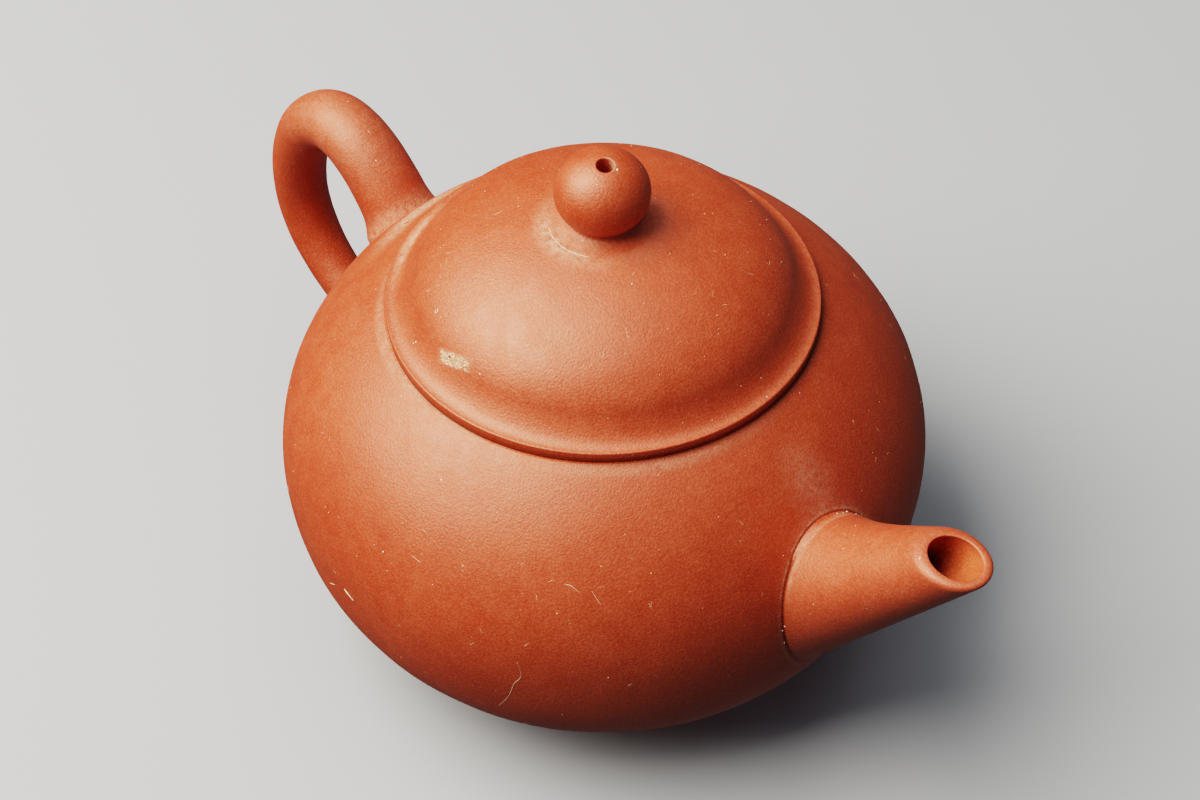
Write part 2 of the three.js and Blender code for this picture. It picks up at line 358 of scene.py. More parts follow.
def gathered(parts: Sequence[Skin]) -> Skin:
    """Puts several skins into one.

    Args:
        parts: the skins; they are freed.

    Returns:
        One skin that holds them all.
    """
    whole = bmesh.new()
    for part in parts:
        mesh = as_mesh(part, "part")
        whole.from_mesh(mesh)
        bpy.data.meshes.remove(mesh)
    return whole


def carved(bm: Skin, tools: Skin) -> Skin:
    """Cuts one skin out of another with a Boolean modifier.

    Args:
        bm: the skin that is cut; it is freed.
        tools: the closed skins that are taken away; they are freed.

    Returns:
        The cut skin.
    """
    work, tool = (in_scene("cutting", as_mesh(skin, "cutting")) for skin in (bm, tools))
    cut = work.modifiers.new("cut", "BOOLEAN")
    cut.operation, cut.solver, cut.object = "DIFFERENCE", "EXACT", tool
    result = bmesh.new()
    result.from_object(work, bpy.context.evaluated_depsgraph_get())
    for used in (work, tool):
        mesh = used.data
        bpy.data.objects.remove(used)
        bpy.data.meshes.remove(mesh)
    return result


class Contact:
    """A skin as something that dust gathers against and that small things lie on."""

    def __init__(self, bm: Skin) -> None:
        """Remembers the skin as it is now."""
        self.tree = BVHTree.FromBMesh(bm)

    def gap(self, place: Vector) -> float:
        """Returns the distance from a place to the skin."""
        return self.tree.find_nearest(place)[3]

    def seat(self, place: Vector) -> tuple[Vector, Vector]:
        """Returns the skin's nearest point to a place, and the way that it faces there."""
        return self.tree.find_nearest(place)[:2]


def linear(code: str) -> Colour:
    """Turns an sRGB hex colour such as "#B4552F" into linear red, green, blue and alpha."""
    channels = [int(code[place:place + 2], 16) / 255.0 for place in (1, 3, 5)]
    return (*(c / 12.92 if c <= 0.04045 else ((c + 0.055) / 1.055) ** 2.4 for c in channels), 1.0)


def add_node(tree: Tree, kind: str, settings: dict | None = None,
             links: dict | None = None) -> bpy.types.Node:
    """Adds a shader node.

    Args:
        tree: the tree that it goes into.
        kind: the node's type.
        settings: values by property name, or by an input's name or number.
        links: output sockets by the name or number of the input that they feed.

    Returns:
        The new node.
    """
    node = tree.nodes.new(kind)
    for key, value in (settings or {}).items():
        if isinstance(key, str) and hasattr(node, key):
            setattr(node, key, value)
    for key, value in (settings or {}).items():
        if not (isinstance(key, str) and hasattr(node, key)):
            node.inputs[key].default_value = value
    for key, socket in (links or {}).items():
        tree.links.new(socket, node.inputs[key])
    return node


def blank_material(name: str) -> tuple[bpy.types.Material, Tree]:
    """Makes a material that has no nodes yet.

    Args:
        name: the material's name.

    Returns:
        The material and its tree.
    """
    made = bpy.data.materials.new(name)
    made.use_nodes = True
    made.node_tree.nodes.clear()
    return made, made.node_tree


@dataclass(frozen=True)
class Grit:
    """Small round spots of one colour: at most one in each cell, and none in a share of the cells."""

    colour: str
    spacing: float
    empty: float
    smallest: float
    largest: float


@dataclass(frozen=True)
class ClayFinish:
    """Iron-rich stoneware clay, fired without glaze: its grain shows, and its gloss is what rubbing gave.

    Sizes are in millimetres. The grain is drawn a little coarser than the real one, so that it shows.
    """

    name: str
    deep: str = "#A33818"
    plain: str = "#B14421"
    warm: str = "#BF5535"
    dust_colour: str = "#D8A48C"
    # The dark colour below 0 paints the shade in creases, under the lid's lip and on the mouth ring, and a
    # faint darkening inside the pot and the lid.
    shade_and_grime_colour: str = "#3A140B"
    gloss_tint: str = "#FFF3E4"
    grits: tuple[Grit, ...] = (
        Grit("#F2DCC4", spacing=1.3, empty=0.62, smallest=0.03, largest=0.09),
        Grit("#5E2011", spacing=1.5, empty=0.6, smallest=0.04, largest=0.08),
        Grit("#E0A074", spacing=0.6, empty=0.5, smallest=0.04, largest=0.1),
        Grit("#C8500F", spacing=8.0, empty=0.82, smallest=0.05, largest=0.09),
    )
    grit_firmness: float = 1.7
    colour_spread: float = 0.13
    mottle_share: float = 0.4
    grain_share: float = 0.65
    roughness: float = 0.52
    roughness_spread: float = 0.06
    dust_dulling: float = 0.35
    specular: float = 0.85
    refraction: float = 1.62
    cloud_size: float = 16.0
    mottle_size: float = 2.4
    grain_size: float = 0.27
    dust_patches_per_mm: float = 1.1
    brush_size: float = 2.6
    brush_stretch: float = 8.0
    grain_depth: float = 0.055
    mottle_depth: float = 0.03
    brush_depth: float = 0.01
    turning_depth: float = 0.0
    turning_pitch: float = 0.9

    def material(self) -> bpy.types.Material:
        """Builds the clay.

        Returns:
            The material.
        """
        made, tree = blank_material(self.name)
        coordinates = add_node(tree, "ShaderNodeTexCoord")
        place = add_node(tree, "ShaderNodeVectorMath", {"operation": "SCALE", "Scale": 1.0 / METRES},
                         {0: coordinates.outputs["Object"]}).outputs[0]
        cloud, mottle, grain = (
            add_node(tree, "ShaderNodeTexNoise", {"Scale": 1.0 / size, "Detail": detail, "Roughness": 0.6},
                     {"Vector": place}).outputs["Fac"]
            for size, detail in ((self.cloud_size, 3.0), (self.mottle_size, 4.0), (self.grain_size, 2.0)))
        colour = self._specks(tree, place, self._clay_colour(tree, cloud, mottle, grain))
        dust, shade_and_grime = self._dust_and_shade(tree, place)
        # Pale dust, then the painted shade, over the clay's own colour.
        for share, code in ((dust, self.dust_colour), (shade_and_grime, self.shade_and_grime_colour)):
            colour = add_node(tree, "ShaderNodeMix", {"data_type": "RGBA", 7: linear(code)},
                              {0: share, 6: colour}).outputs[2]
        rough = add_node(tree, "ShaderNodeMapRange", {
            "From Min": 0.3, "From Max": 0.7, "To Min": self.roughness - self.roughness_spread,
            "To Max": self.roughness + self.roughness_spread}, {"Value": mottle}).outputs[0]
        dull = add_node(tree, "ShaderNodeMath", {"operation": "MULTIPLY_ADD", 1: self.dust_dulling},
                        {0: dust, 2: rough}).outputs[0]
        normal = self._relief(tree, place, mottle, grain, dust)
        shader = add_node(tree, "ShaderNodeBsdfPrincipled", {
            "Specular IOR Level": self.specular, "IOR": self.refraction,
            "Specular Tint": linear(self.gloss_tint)},
            {"Base Color": colour, "Roughness": dull, "Normal": normal})
        add_node(tree, "ShaderNodeOutputMaterial", links={"Surface": shader.outputs[0]})
        return made

    def _clay_colour(self, tree: Tree, cloud: Socket, mottle: Socket, grain: Socket) -> Socket:
        """Mixes the clay's own colours.

        Args:
            tree: the material's tree.
            cloud: broad noise, from the way the flame went round the pot.
            mottle: middling noise.
            grain: fine noise, the size of the clay's grit.

        Returns:
            The colour socket.
        """
        soft = add_node(tree, "ShaderNodeMix", {0: self.mottle_share}, {2: cloud, 3: mottle}).outputs[0]
        blots = add_node(tree, "ShaderNodeMix", {0: self.grain_share}, {2: soft, 3: grain}).outputs[0]
        ramp = add_node(tree, "ShaderNodeValToRGB", links={0: blots})
        low, high = ramp.color_ramp.elements[0], ramp.color_ramp.elements[1]
        low.position, low.color = 0.5 - self.colour_spread, linear(self.deep)
        high.position, high.color = 0.5 + self.colour_spread, linear(self.warm)
        middle = ramp.color_ramp.elements.new(0.5)
        middle.color = linear(self.plain)
        return ramp.outputs[0]

    def _specks(self, tree: Tree, place: Socket, colour: Socket) -> Socket:
        """Scatters the grits: cells of a few millimetres, some of which hold a small round spot.

        Args:
            tree: the material's tree.
            place: the place in millimetres.
            colour: the clay under them.

        Returns:
            The colour socket.
        """
        for grit in self.grits:
            cells = add_node(tree, "ShaderNodeTexVoronoi", {"Scale": 1.0 / grit.spacing, "Randomness": 1.0},
                             {"Vector": place})
            dice = add_node(tree, "ShaderNodeSeparateColor", links={0: cells.outputs["Color"]})
            chosen = add_node(tree, "ShaderNodeMath", {"operation": "GREATER_THAN", 1: grit.empty},
                              {0: dice.outputs[0]}).outputs[0]
            reach = add_node(tree, "ShaderNodeMapRange", {"To Min": grit.smallest, "To Max": grit.largest},
                             {"Value": dice.outputs[1]}).outputs[0]
            inside = add_node(tree, "ShaderNodeMapRange", {
                "From Min": 0.0, "To Min": self.grit_firmness, "To Max": 0.0},
                {"Value": cells.outputs["Distance"], "From Max": reach}).outputs[0]
            share = add_node(tree, "ShaderNodeMath", {"operation": "MULTIPLY", "use_clamp": True},
                             {0: chosen, 1: inside}).outputs[0]
            colour = add_node(tree, "ShaderNodeMix", {"data_type": "RGBA", 7: linear(grit.colour)},
                              {0: share, 6: colour}).outputs[2]
        return colour

    def _dust_and_shade(self, tree: Tree, place: Socket) -> tuple[Socket, Socket]:
        """Breaks up each piece's marks: pale dust above 0; below it, painted shade in creases and under the
        lip, and a faint darkening inside.

        Args:
            tree: the material's tree.
            place: the place in millimetres.

        Returns:
            The share of dust and the share of the dark colour (painted shade, and the faint darkening
            inside), each from 0 to 1.
        """
        marked = add_node(tree, "ShaderNodeAttribute", {"attribute_name": SOIL_AND_SHADE, "attribute_type": "GEOMETRY"})
        patchy = add_node(tree, "ShaderNodeTexNoise", {
            "Scale": self.dust_patches_per_mm, "Detail": 8.0, "Roughness": 0.85},
            {"Vector": place}).outputs["Fac"]
        broken = add_node(tree, "ShaderNodeMapRange", {**NOISE_SPAN, "To Min": 0.1, "To Max": 1.7},
                          {"Value": patchy}).outputs[0]
        dust = add_node(tree, "ShaderNodeMath", {"operation": "MULTIPLY", "use_clamp": True},
                        {0: marked.outputs["Fac"], 1: broken}).outputs[0]
        # The dark share is painted shade where the marks fall below 0.
        shade_and_grime = add_node(tree, "ShaderNodeMath", {"operation": "MULTIPLY", "use_clamp": True, 1: -1.0},
                         {0: marked.outputs["Fac"]}).outputs[0]
        return dust, shade_and_grime

    def _relief(self, tree: Tree, place: Socket, mottle: Socket, grain: Socket, dust: Socket) -> Socket:
        """Adds up the fine relief, in millimetres.

        Args:
            tree: the material's tree.
            place: the place in millimetres.
            mottle: middling noise.
            grain: fine noise.
            dust: the share of dust.

        Returns:
            The normal socket.
        """
        round_the_pot = add_node(tree, "ShaderNodeVectorMath", {
            "operation": "MULTIPLY", 1: (1.0, 1.0, self.brush_stretch)}, {0: place}).outputs[0]
        brush = add_node(tree, "ShaderNodeTexNoise", {"Scale": 1.0 / self.brush_size, "Detail": 3.0},
                         {"Vector": round_the_pot}).outputs["Fac"]
        layers = [(mottle, self.mottle_depth), (brush, self.brush_depth), (dust, self.grain_depth)]
        if self.turning_depth:
            waves = add_node(tree, "ShaderNodeTexWave", {
                "wave_type": "BANDS", "bands_direction": "Z", "Scale": 1.0 / (math.tau * self.turning_pitch),
                "Distortion": 1.5, "Detail": 2.0}, {"Vector": place}).outputs["Fac"]
            layers.append((waves, self.turning_depth))
        height = add_node(tree, "ShaderNodeMath", {"operation": "MULTIPLY", 1: self.grain_depth},
                          {0: grain}).outputs[0]
        for layer, depth in layers:
            height = add_node(tree, "ShaderNodeMath", {"operation": "MULTIPLY_ADD", 1: depth},
                              {0: layer, 2: height}).outputs[0]
        return add_node(tree, "ShaderNodeBump", {"Strength": 1.0, "Distance": METRES},
                        {"Height": height}).outputs[0]


@dataclass(frozen=True)
class DepositFinish:
    """Dried tea scale or lint: chalky and dead matt, so it reads as something left lying on the clay."""

    name: str
    pale: str
    brown: str
    patch_size: float
    roughness: float = 0.95

    def material(self) -> bpy.types.Material:
        """Builds the deposit.

        Returns:
            The material.
        """
        made, tree = blank_material(self.name)
        coordinates = add_node(tree, "ShaderNodeTexCoord")
        patches = add_node(tree, "ShaderNodeTexNoise", {
            "Scale": 1.0 / (self.patch_size * METRES), "Detail": 4.0, "Roughness": 0.7},
            {"Vector": coordinates.outputs["Object"]}).outputs["Fac"]
        share = add_node(tree, "ShaderNodeMapRange", NOISE_SPAN, {"Value": patches}).outputs[0]
        colour = add_node(tree, "ShaderNodeMix", {
            "data_type": "RGBA", 6: linear(self.brown), 7: linear(self.pale)}, {0: share}).outputs[2]
        shader = add_node(tree, "ShaderNodeBsdfPrincipled", {"Roughness": self.roughness},
                          {"Base Color": colour})
        add_node(tree, "ShaderNodeOutputMaterial", links={"Surface": shader.outputs[0]})
        return made


@dataclass(frozen=True)
class FloorFinish:
    """Plain matt board under the pot, which shows its shadow and nothing else."""

    name: str = "pale_matt_board"
    colour: str = "#AAB1BA"
    roughness: float = 0.9

    def material(self) -> bpy.types.Material:
        """Builds the board's surface.

        Returns:
            The material.
        """
        made, tree = blank_material(self.name)
        shader = add_node(tree, "ShaderNodeBsdfPrincipled",
                          {"Base Color": linear(self.colour), "Roughness": self.roughness})
        add_node(tree, "ShaderNodeOutputMaterial", links={"Surface": shader.outputs[0]})
        return made


@dataclass(frozen=True)
class Landmarks:
    """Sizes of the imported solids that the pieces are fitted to, in millimetres."""

    belly_radius: float
    foot_radius: float
    foot_height: float
    floor_top: float
    land_height: float
    ring_radius: float
    seat_height: float
    lip_radius: float
    collar_radius: float
    collar_foot: float
    knob_foot_radius: float
    spout_reach: float
    handle_reach: float
    handle_top: float
    strainer_face: float
    strainer_back: float
    strainer_radius: float
    strainer_height: float

    @classmethod
    def from_frame(cls) -> Landmarks:
        """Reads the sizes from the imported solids.

        Returns:
            The landmarks.
        """
        def corner(node: str) -> tuple[Vector, Vector]:
            """Returns a solid's lowest and highest corner in millimetres."""
            low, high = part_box(node)
            return low / METRES, high / METRES

        strainer_low, strainer_high = corner("strainer")
        return cls(
            belly_radius=corner("body_wall")[1].y,
            foot_radius=corner("foot_ring")[1].y,
            foot_height=corner("foot_ring")[1].z,
            floor_top=corner("base_disc")[1].z,
            land_height=corner("body_wall")[1].z,
            ring_radius=corner("mouth_ring")[1].y,
            seat_height=corner("mouth_ring")[1].z,
            lip_radius=corner("lid_dome")[1].y,
            collar_radius=corner("lid_flange")[1].y,
            collar_foot=corner("lid_flange")[0].z,
            knob_foot_radius=corner("knob")[1].y,
            spout_reach=corner("spout")[1].x,
            handle_reach=-corner("handle")[0].x,
            handle_top=corner("handle")[1].z,
            strainer_face=strainer_high.x,
            strainer_back=strainer_low.x,
            strainer_radius=strainer_high.y,
            strainer_height=(strainer_low.z + strainer_high.z) / 2,
        )


class Clay:
    """The two finishes, and the way from a modelled skin to an object of the pot."""

    def __init__(self) -> None:
        """Makes the materials."""
        self.materials = {
            Slot.BURNISHED: ClayFinish(name="burnished_red_clay").material(),
            Slot.SCRAPED: ClayFinish(name="scraped_red_clay", deep="#A03D1B", plain="#B24B25", warm="#C05C31",
                                     roughness=0.78, roughness_spread=0.05, specular=0.4, grain_depth=0.07,
                                     turning_depth=0.03).material(),
        }

    def piece(self, bm: Skin, name: str, body: Body, slots: Sequence[Slot], replaced: Sequence[str],
              soil_and_shade: PlaceMap) -> bpy.types.Object:
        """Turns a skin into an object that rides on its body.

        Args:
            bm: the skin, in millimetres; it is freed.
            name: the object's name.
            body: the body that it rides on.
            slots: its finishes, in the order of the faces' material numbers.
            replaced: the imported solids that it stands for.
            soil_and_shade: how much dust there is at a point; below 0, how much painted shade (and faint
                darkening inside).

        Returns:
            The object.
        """
        marks = [soil_and_shade(vert.co) for vert in bm.verts]
        made = placed(bm, name, body, [self.materials[slot] for slot in slots])
        made.data.attributes.new(SOIL_AND_SHADE, "FLOAT", "POINT").data.foreach_set("value", marks)
        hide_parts(*replaced)
        return made


def placed(bm: Skin, name: str, body: Body, materials: Sequence[bpy.types.Material]) -> bpy.types.Object:
    """Turns a skin into a smooth-shaded object on one body.

    Args:
        bm: the skin, in millimetres; it is freed.
        name: the object's name.
        body: the body that it rides on.
        materials: its materials, in the order of the faces' material numbers.

    Returns:
        The object.
    """
    bmesh.ops.scale(bm, vec=(METRES, METRES, METRES), verts=bm.verts)
    mesh = as_mesh(bm, name)
    mesh.shade_smooth()
    for material in materials:
        mesh.materials.append(material)
    made = in_scene(name, mesh)
    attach(made, body.value)
    LOG.info("%s: %d faces on the %s", name, len(mesh.polygons), body.value)
    return made


@dataclass
class Bowl:
    """The paddled body with its floor, foot and mouth ring."""

    marks: Landmarks
    belly_height: float = 26.5
    shoulder_rise: float = 28.5
    shoulder_fullness: float = 2.0
    underbelly_drop: float = 30.7
    underbelly_fullness: float = 2.11
    wall: float = 2.4
    mouth_radius: float = 20.9
    collar_depth: float = 2.6
    floor_fillet: float = 4.0
    foot_width: float = 3.0
    edge_rounding: float = 0.22
    seat_rounding: float = 0.08
    # The mouth ring, under the lid's lip, is darkened all over with painted shade.
    seat_shade: float = -0.3
    passage_radius: float = 6.3
    hand_depth: float = 0.09
    hand_period: float = 11.0
    calm_under_land: Point = (5.0, 1.0)
    outer_steps: int = 44
    inner_steps: int = 40
    fillet_steps: int = 8
    passage_segments: int = 96
    skin: Skin | None = field(default=None, init=False)

    def radius_at(self, height: float, margin: float = 0.0) -> float:
        """Works out the outer face's radius.

        Args:
            height: where.
            margin: how far outwards the face is moved.

        Returns:
            The radius.
        """
        above = height > self.belly_height
        rise, fullness = ((self.shoulder_rise, self.shoulder_fullness) if above
                          else (self.underbelly_drop, self.underbelly_fullness))
        share = min(1.0, abs(height - self.belly_height) / (rise + margin))
        return (self.marks.belly_radius + margin) * (1.0 - share ** fullness) ** (1.0 / fullness)

    def outline(self, low: float, high: float, margin: float, count: int) -> list[Point]:
        """Points up the outer face.

        Args:
            low: the lowest height.
            high: the highest height.
            margin: how far outwards the face is moved.
            count: steps below the belly line, and as many above it.

        Returns:
            (radius, height) points.
        """
        radius = self.marks.belly_radius + margin
        below = arc(radius, self.underbelly_drop + margin, self.underbelly_fullness, self.belly_height,
                    low - self.belly_height, 0.0, count)
        above = arc(radius, self.shoulder_rise + margin, self.shoulder_fullness, self.belly_height,
                    0.0, high - self.belly_height, count)
        return below + above[1:]

    def outside(self, place: Vector) -> float:
        """Returns about how far a point lies outside the outer face."""
        return place.xy.length - self.radius_at(place.z)

    def build(self, in_crease: Callable[[Vector], bool]) -> None:
        """Models the body with its floor.

        Args:
            in_crease: whether a place lies where another piece meets the outer face, and needs finer faces.
        """
        marks = self.marks
        throat = marks.land_height - self.collar_depth
        inner = self.outline(marks.floor_top + self.floor_fillet, throat, -self.wall, self.inner_steps)
        corner_radius = self.radius_at(marks.floor_top, -self.wall)
        fillet = bend(inner[0], (corner_radius, marks.floor_top),
                      (inner[0][0] - self.floor_fillet, marks.floor_top), self.fillet_steps)
        profile = [
            (0.0, marks.foot_height),
            *self.outline(marks.foot_height, marks.land_height, 0.0, self.outer_steps),
            (self.mouth_radius, marks.land_height),
            (self.mouth_radius, throat),
            *reversed(inner),
            *fillet[1:],
            (0.0, marks.floor_top),
        ]
        skin = turned(profile)
        self._refine(skin, in_crease)
        full, gone = (marks.land_height - depth for depth in self.calm_under_land)
        hand_worked(skin, self.hand_depth, self.hand_period, lambda place: fade(place.z, full, gone))
        self.skin = carved(skin, self._passage())
        for face in self.skin.faces:
            middle = face.calc_center_median()
            inside = self.outside(middle) < -self.wall / 2
            face.material_index = int(inside and middle.z > marks.floor_top - self.edge_rounding)

    def _refine(self, skin: Skin, in_crease: Callable[[Vector], bool]) -> None:
        """Splits the outer face's quads in the creases, and seats the new corners on the curve.

        Args:
            skin: the spun body.
            in_crease: whether a place lies in a crease.
        """
        middles = ((edge, (edge.verts[0].co + edge.verts[1].co) / 2) for edge in skin.edges)
        edges = [edge for edge, middle in middles
                 if self.outside(middle) > -self.wall / 2 and in_crease(middle)]
        fresh = bmesh.ops.subdivide_edges(skin, edges=edges, cuts=3, use_grid_fill=True)["geom_inner"]
        for vert in fresh:
            if isinstance(vert, bmesh.types.BMVert) and abs(self.outside(vert.co)) < self.edge_rounding:
                vert.co.xy = vert.co.xy.normalized() * self.radius_at(vert.co.z)

    def _passage(self) -> Skin:
        """Makes the round plug that opens the wall behind the spout.

        Returns:
            The plug.
        """
        plug = bmesh.new()
        turn = Matrix.Rotation(math.pi / 2, 4, "Y")
        place = Matrix.Translation((self.marks.belly_radius, 0.0, self.marks.strainer_height))
        bmesh.ops.create_cone(plug, cap_ends=True, cap_tris=False, segments=self.passage_segments,
                              radius1=self.passage_radius, radius2=self.passage_radius,
                              depth=self.marks.belly_radius, matrix=place @ turn)
        return plug

    def dress(self, clay: Clay, soil_and_shade: PlaceMap) -> None:
        """Turns the body into an object, and adds the mouth ring and the foot.

        Args:
            clay: the finishes.
            soil_and_shade: the dust on the body; below 0, painted shade under the lid's lip and in the
                spout's root crease, and a faint darkening inside.
        """
        clay.piece(self.skin, "bowl", Body.POT, (Slot.BURNISHED, Slot.SCRAPED), ("body_wall", "base_disc"),
                   soil_and_shade)
        self._mouth_ring(clay)
        self._foot(clay)

    def _mouth_ring(self, clay: Clay) -> None:
        """Models the ring that the lid's lip rests on.

        Args:
            clay: the finishes.
        """
        inner, outer, seat = self.mouth_radius, self.marks.ring_radius, self.marks.seat_height
        skin = turned(band_profile(inner, outer, self.marks.land_height, seat), closed=True)
        round_loops(skin, [(inner, seat)], self.edge_rounding)
        round_loops(skin, [(outer, seat)], self.seat_rounding)
        # The ring carries painted shade, as it lies in the shadow under the lid's lip.
        clay.piece(skin, "mouth_band", Body.POT, (Slot.BURNISHED,), ("mouth_ring",),
                   lambda place: self.seat_shade)

    def _foot(self, clay: Clay) -> None:
        """Models the low ring that the pot stands on.

        Args:
            clay: the finishes.
        """
        outer = self.marks.foot_radius
        inner = outer - self.foot_width
        skin = turned(band_profile(inner, outer, 0.0, self.marks.foot_height), closed=True)
        round_loops(skin, [(inner, 0.0), (outer, 0.0)], 2 * self.edge_rounding)
        clay.piece(skin, "foot", Body.POT, (Slot.SCRAPED,), ("foot_ring",), lambda place: 0.0)


@dataclass
class Strainer:
    """The pierced dome behind the spout, which keeps the leaves in."""

    marks: Landmarks
    bulge: float = 4.2
    thickness: float = 1.2
    hole_radius: float = 0.6
    hole_pitch: float = 2.0
    hole_segments: int = 20
    seam: float = 0.45
    segments: int = 96
    skin: Skin | None = field(default=None, init=False)

    def build(self) -> None:
        """Models the dome and pierces it."""
        marks = self.marks
        rim = marks.strainer_radius
        depth = marks.strainer_face - marks.strainer_back
        sphere = (rim ** 2 + self.bulge ** 2) / (2 * self.bulge)
        centre = depth - sphere
        outside = self._cap(sphere, rim, centre)
        inside = self._cap(sphere - self.thickness, rim - self.thickness, centre)
        profile = [*reversed(inside), (rim - self.thickness, 0.0), (rim + self.seam, 0.0),
                   (rim + self.seam, outside[0][1] - self.seam), *outside]
        self.skin = carved(turned(profile, self.segments), self._drills(sphere, rim, centre))
        stand = Matrix.Translation((marks.strainer_face, 0.0, marks.strainer_height))
        turn = Matrix.Rotation(-math.pi / 2, 4, "Y")
        bmesh.ops.transform(self.skin, matrix=stand @ turn, verts=self.skin.verts)

    def dress(self, clay: Clay) -> None:
        """Turns the dome into an object."""
        clay.piece(self.skin, "strainer_dome", Body.POT, (Slot.SCRAPED,), ("strainer",), lambda place: 0.0)

    @staticmethod
    def _cap(radius: float, edge: float, centre: float, count: int = 16) -> list[Point]:
        """Points of a round cap.

        Args:
            radius: the radius of its curve.
            edge: the radius of its edge.
            centre: the height of its centre.
            count: number of steps.

        Returns:
            (radius, height) points, from its edge to its crown.
        """
        start = math.asin(edge / radius)
        angles = [blend(start, 0.0, step / count) for step in range(count + 1)]
        return [(radius * math.sin(angle), centre + radius * math.cos(angle)) for angle in angles]

    def _drills(self, sphere: float, rim: float, centre: float) -> Skin:
        """Places a drill for each hole, in rows about the crown.

        Args:
            sphere: the dome's outer radius.
            rim: the radius of its rim.
            centre: the height of its centre.

        Returns:
            All the drills as closed skins.
        """
        drills = bmesh.new()
        flank = sphere * math.asin(rim / sphere) - self.thickness
        for row in range(int((flank - self.hole_radius) / self.hole_pitch) + 1):
            tilt = row * self.hole_pitch / sphere
            girth = math.tau * (sphere - self.thickness) * math.sin(tilt)
            count = max(1, int(girth / self.hole_pitch))
            for number in range(count):
                turn = Matrix.Rotation(math.tau * number / count, 4, "Z") @ Matrix.Rotation(tilt, 4, "Y")
                place = Matrix.Translation((0.0, 0.0, centre)) @ turn
                out = Matrix.Translation((0.0, 0.0, sphere - self.thickness / 2))
                bmesh.ops.create_cone(drills, cap_ends=True, cap_tris=False, segments=self.hole_segments,
                                      radius1=self.hole_radius, radius2=self.hole_radius,
                                      depth=2 * self.thickness, matrix=place @ out)
        return drills


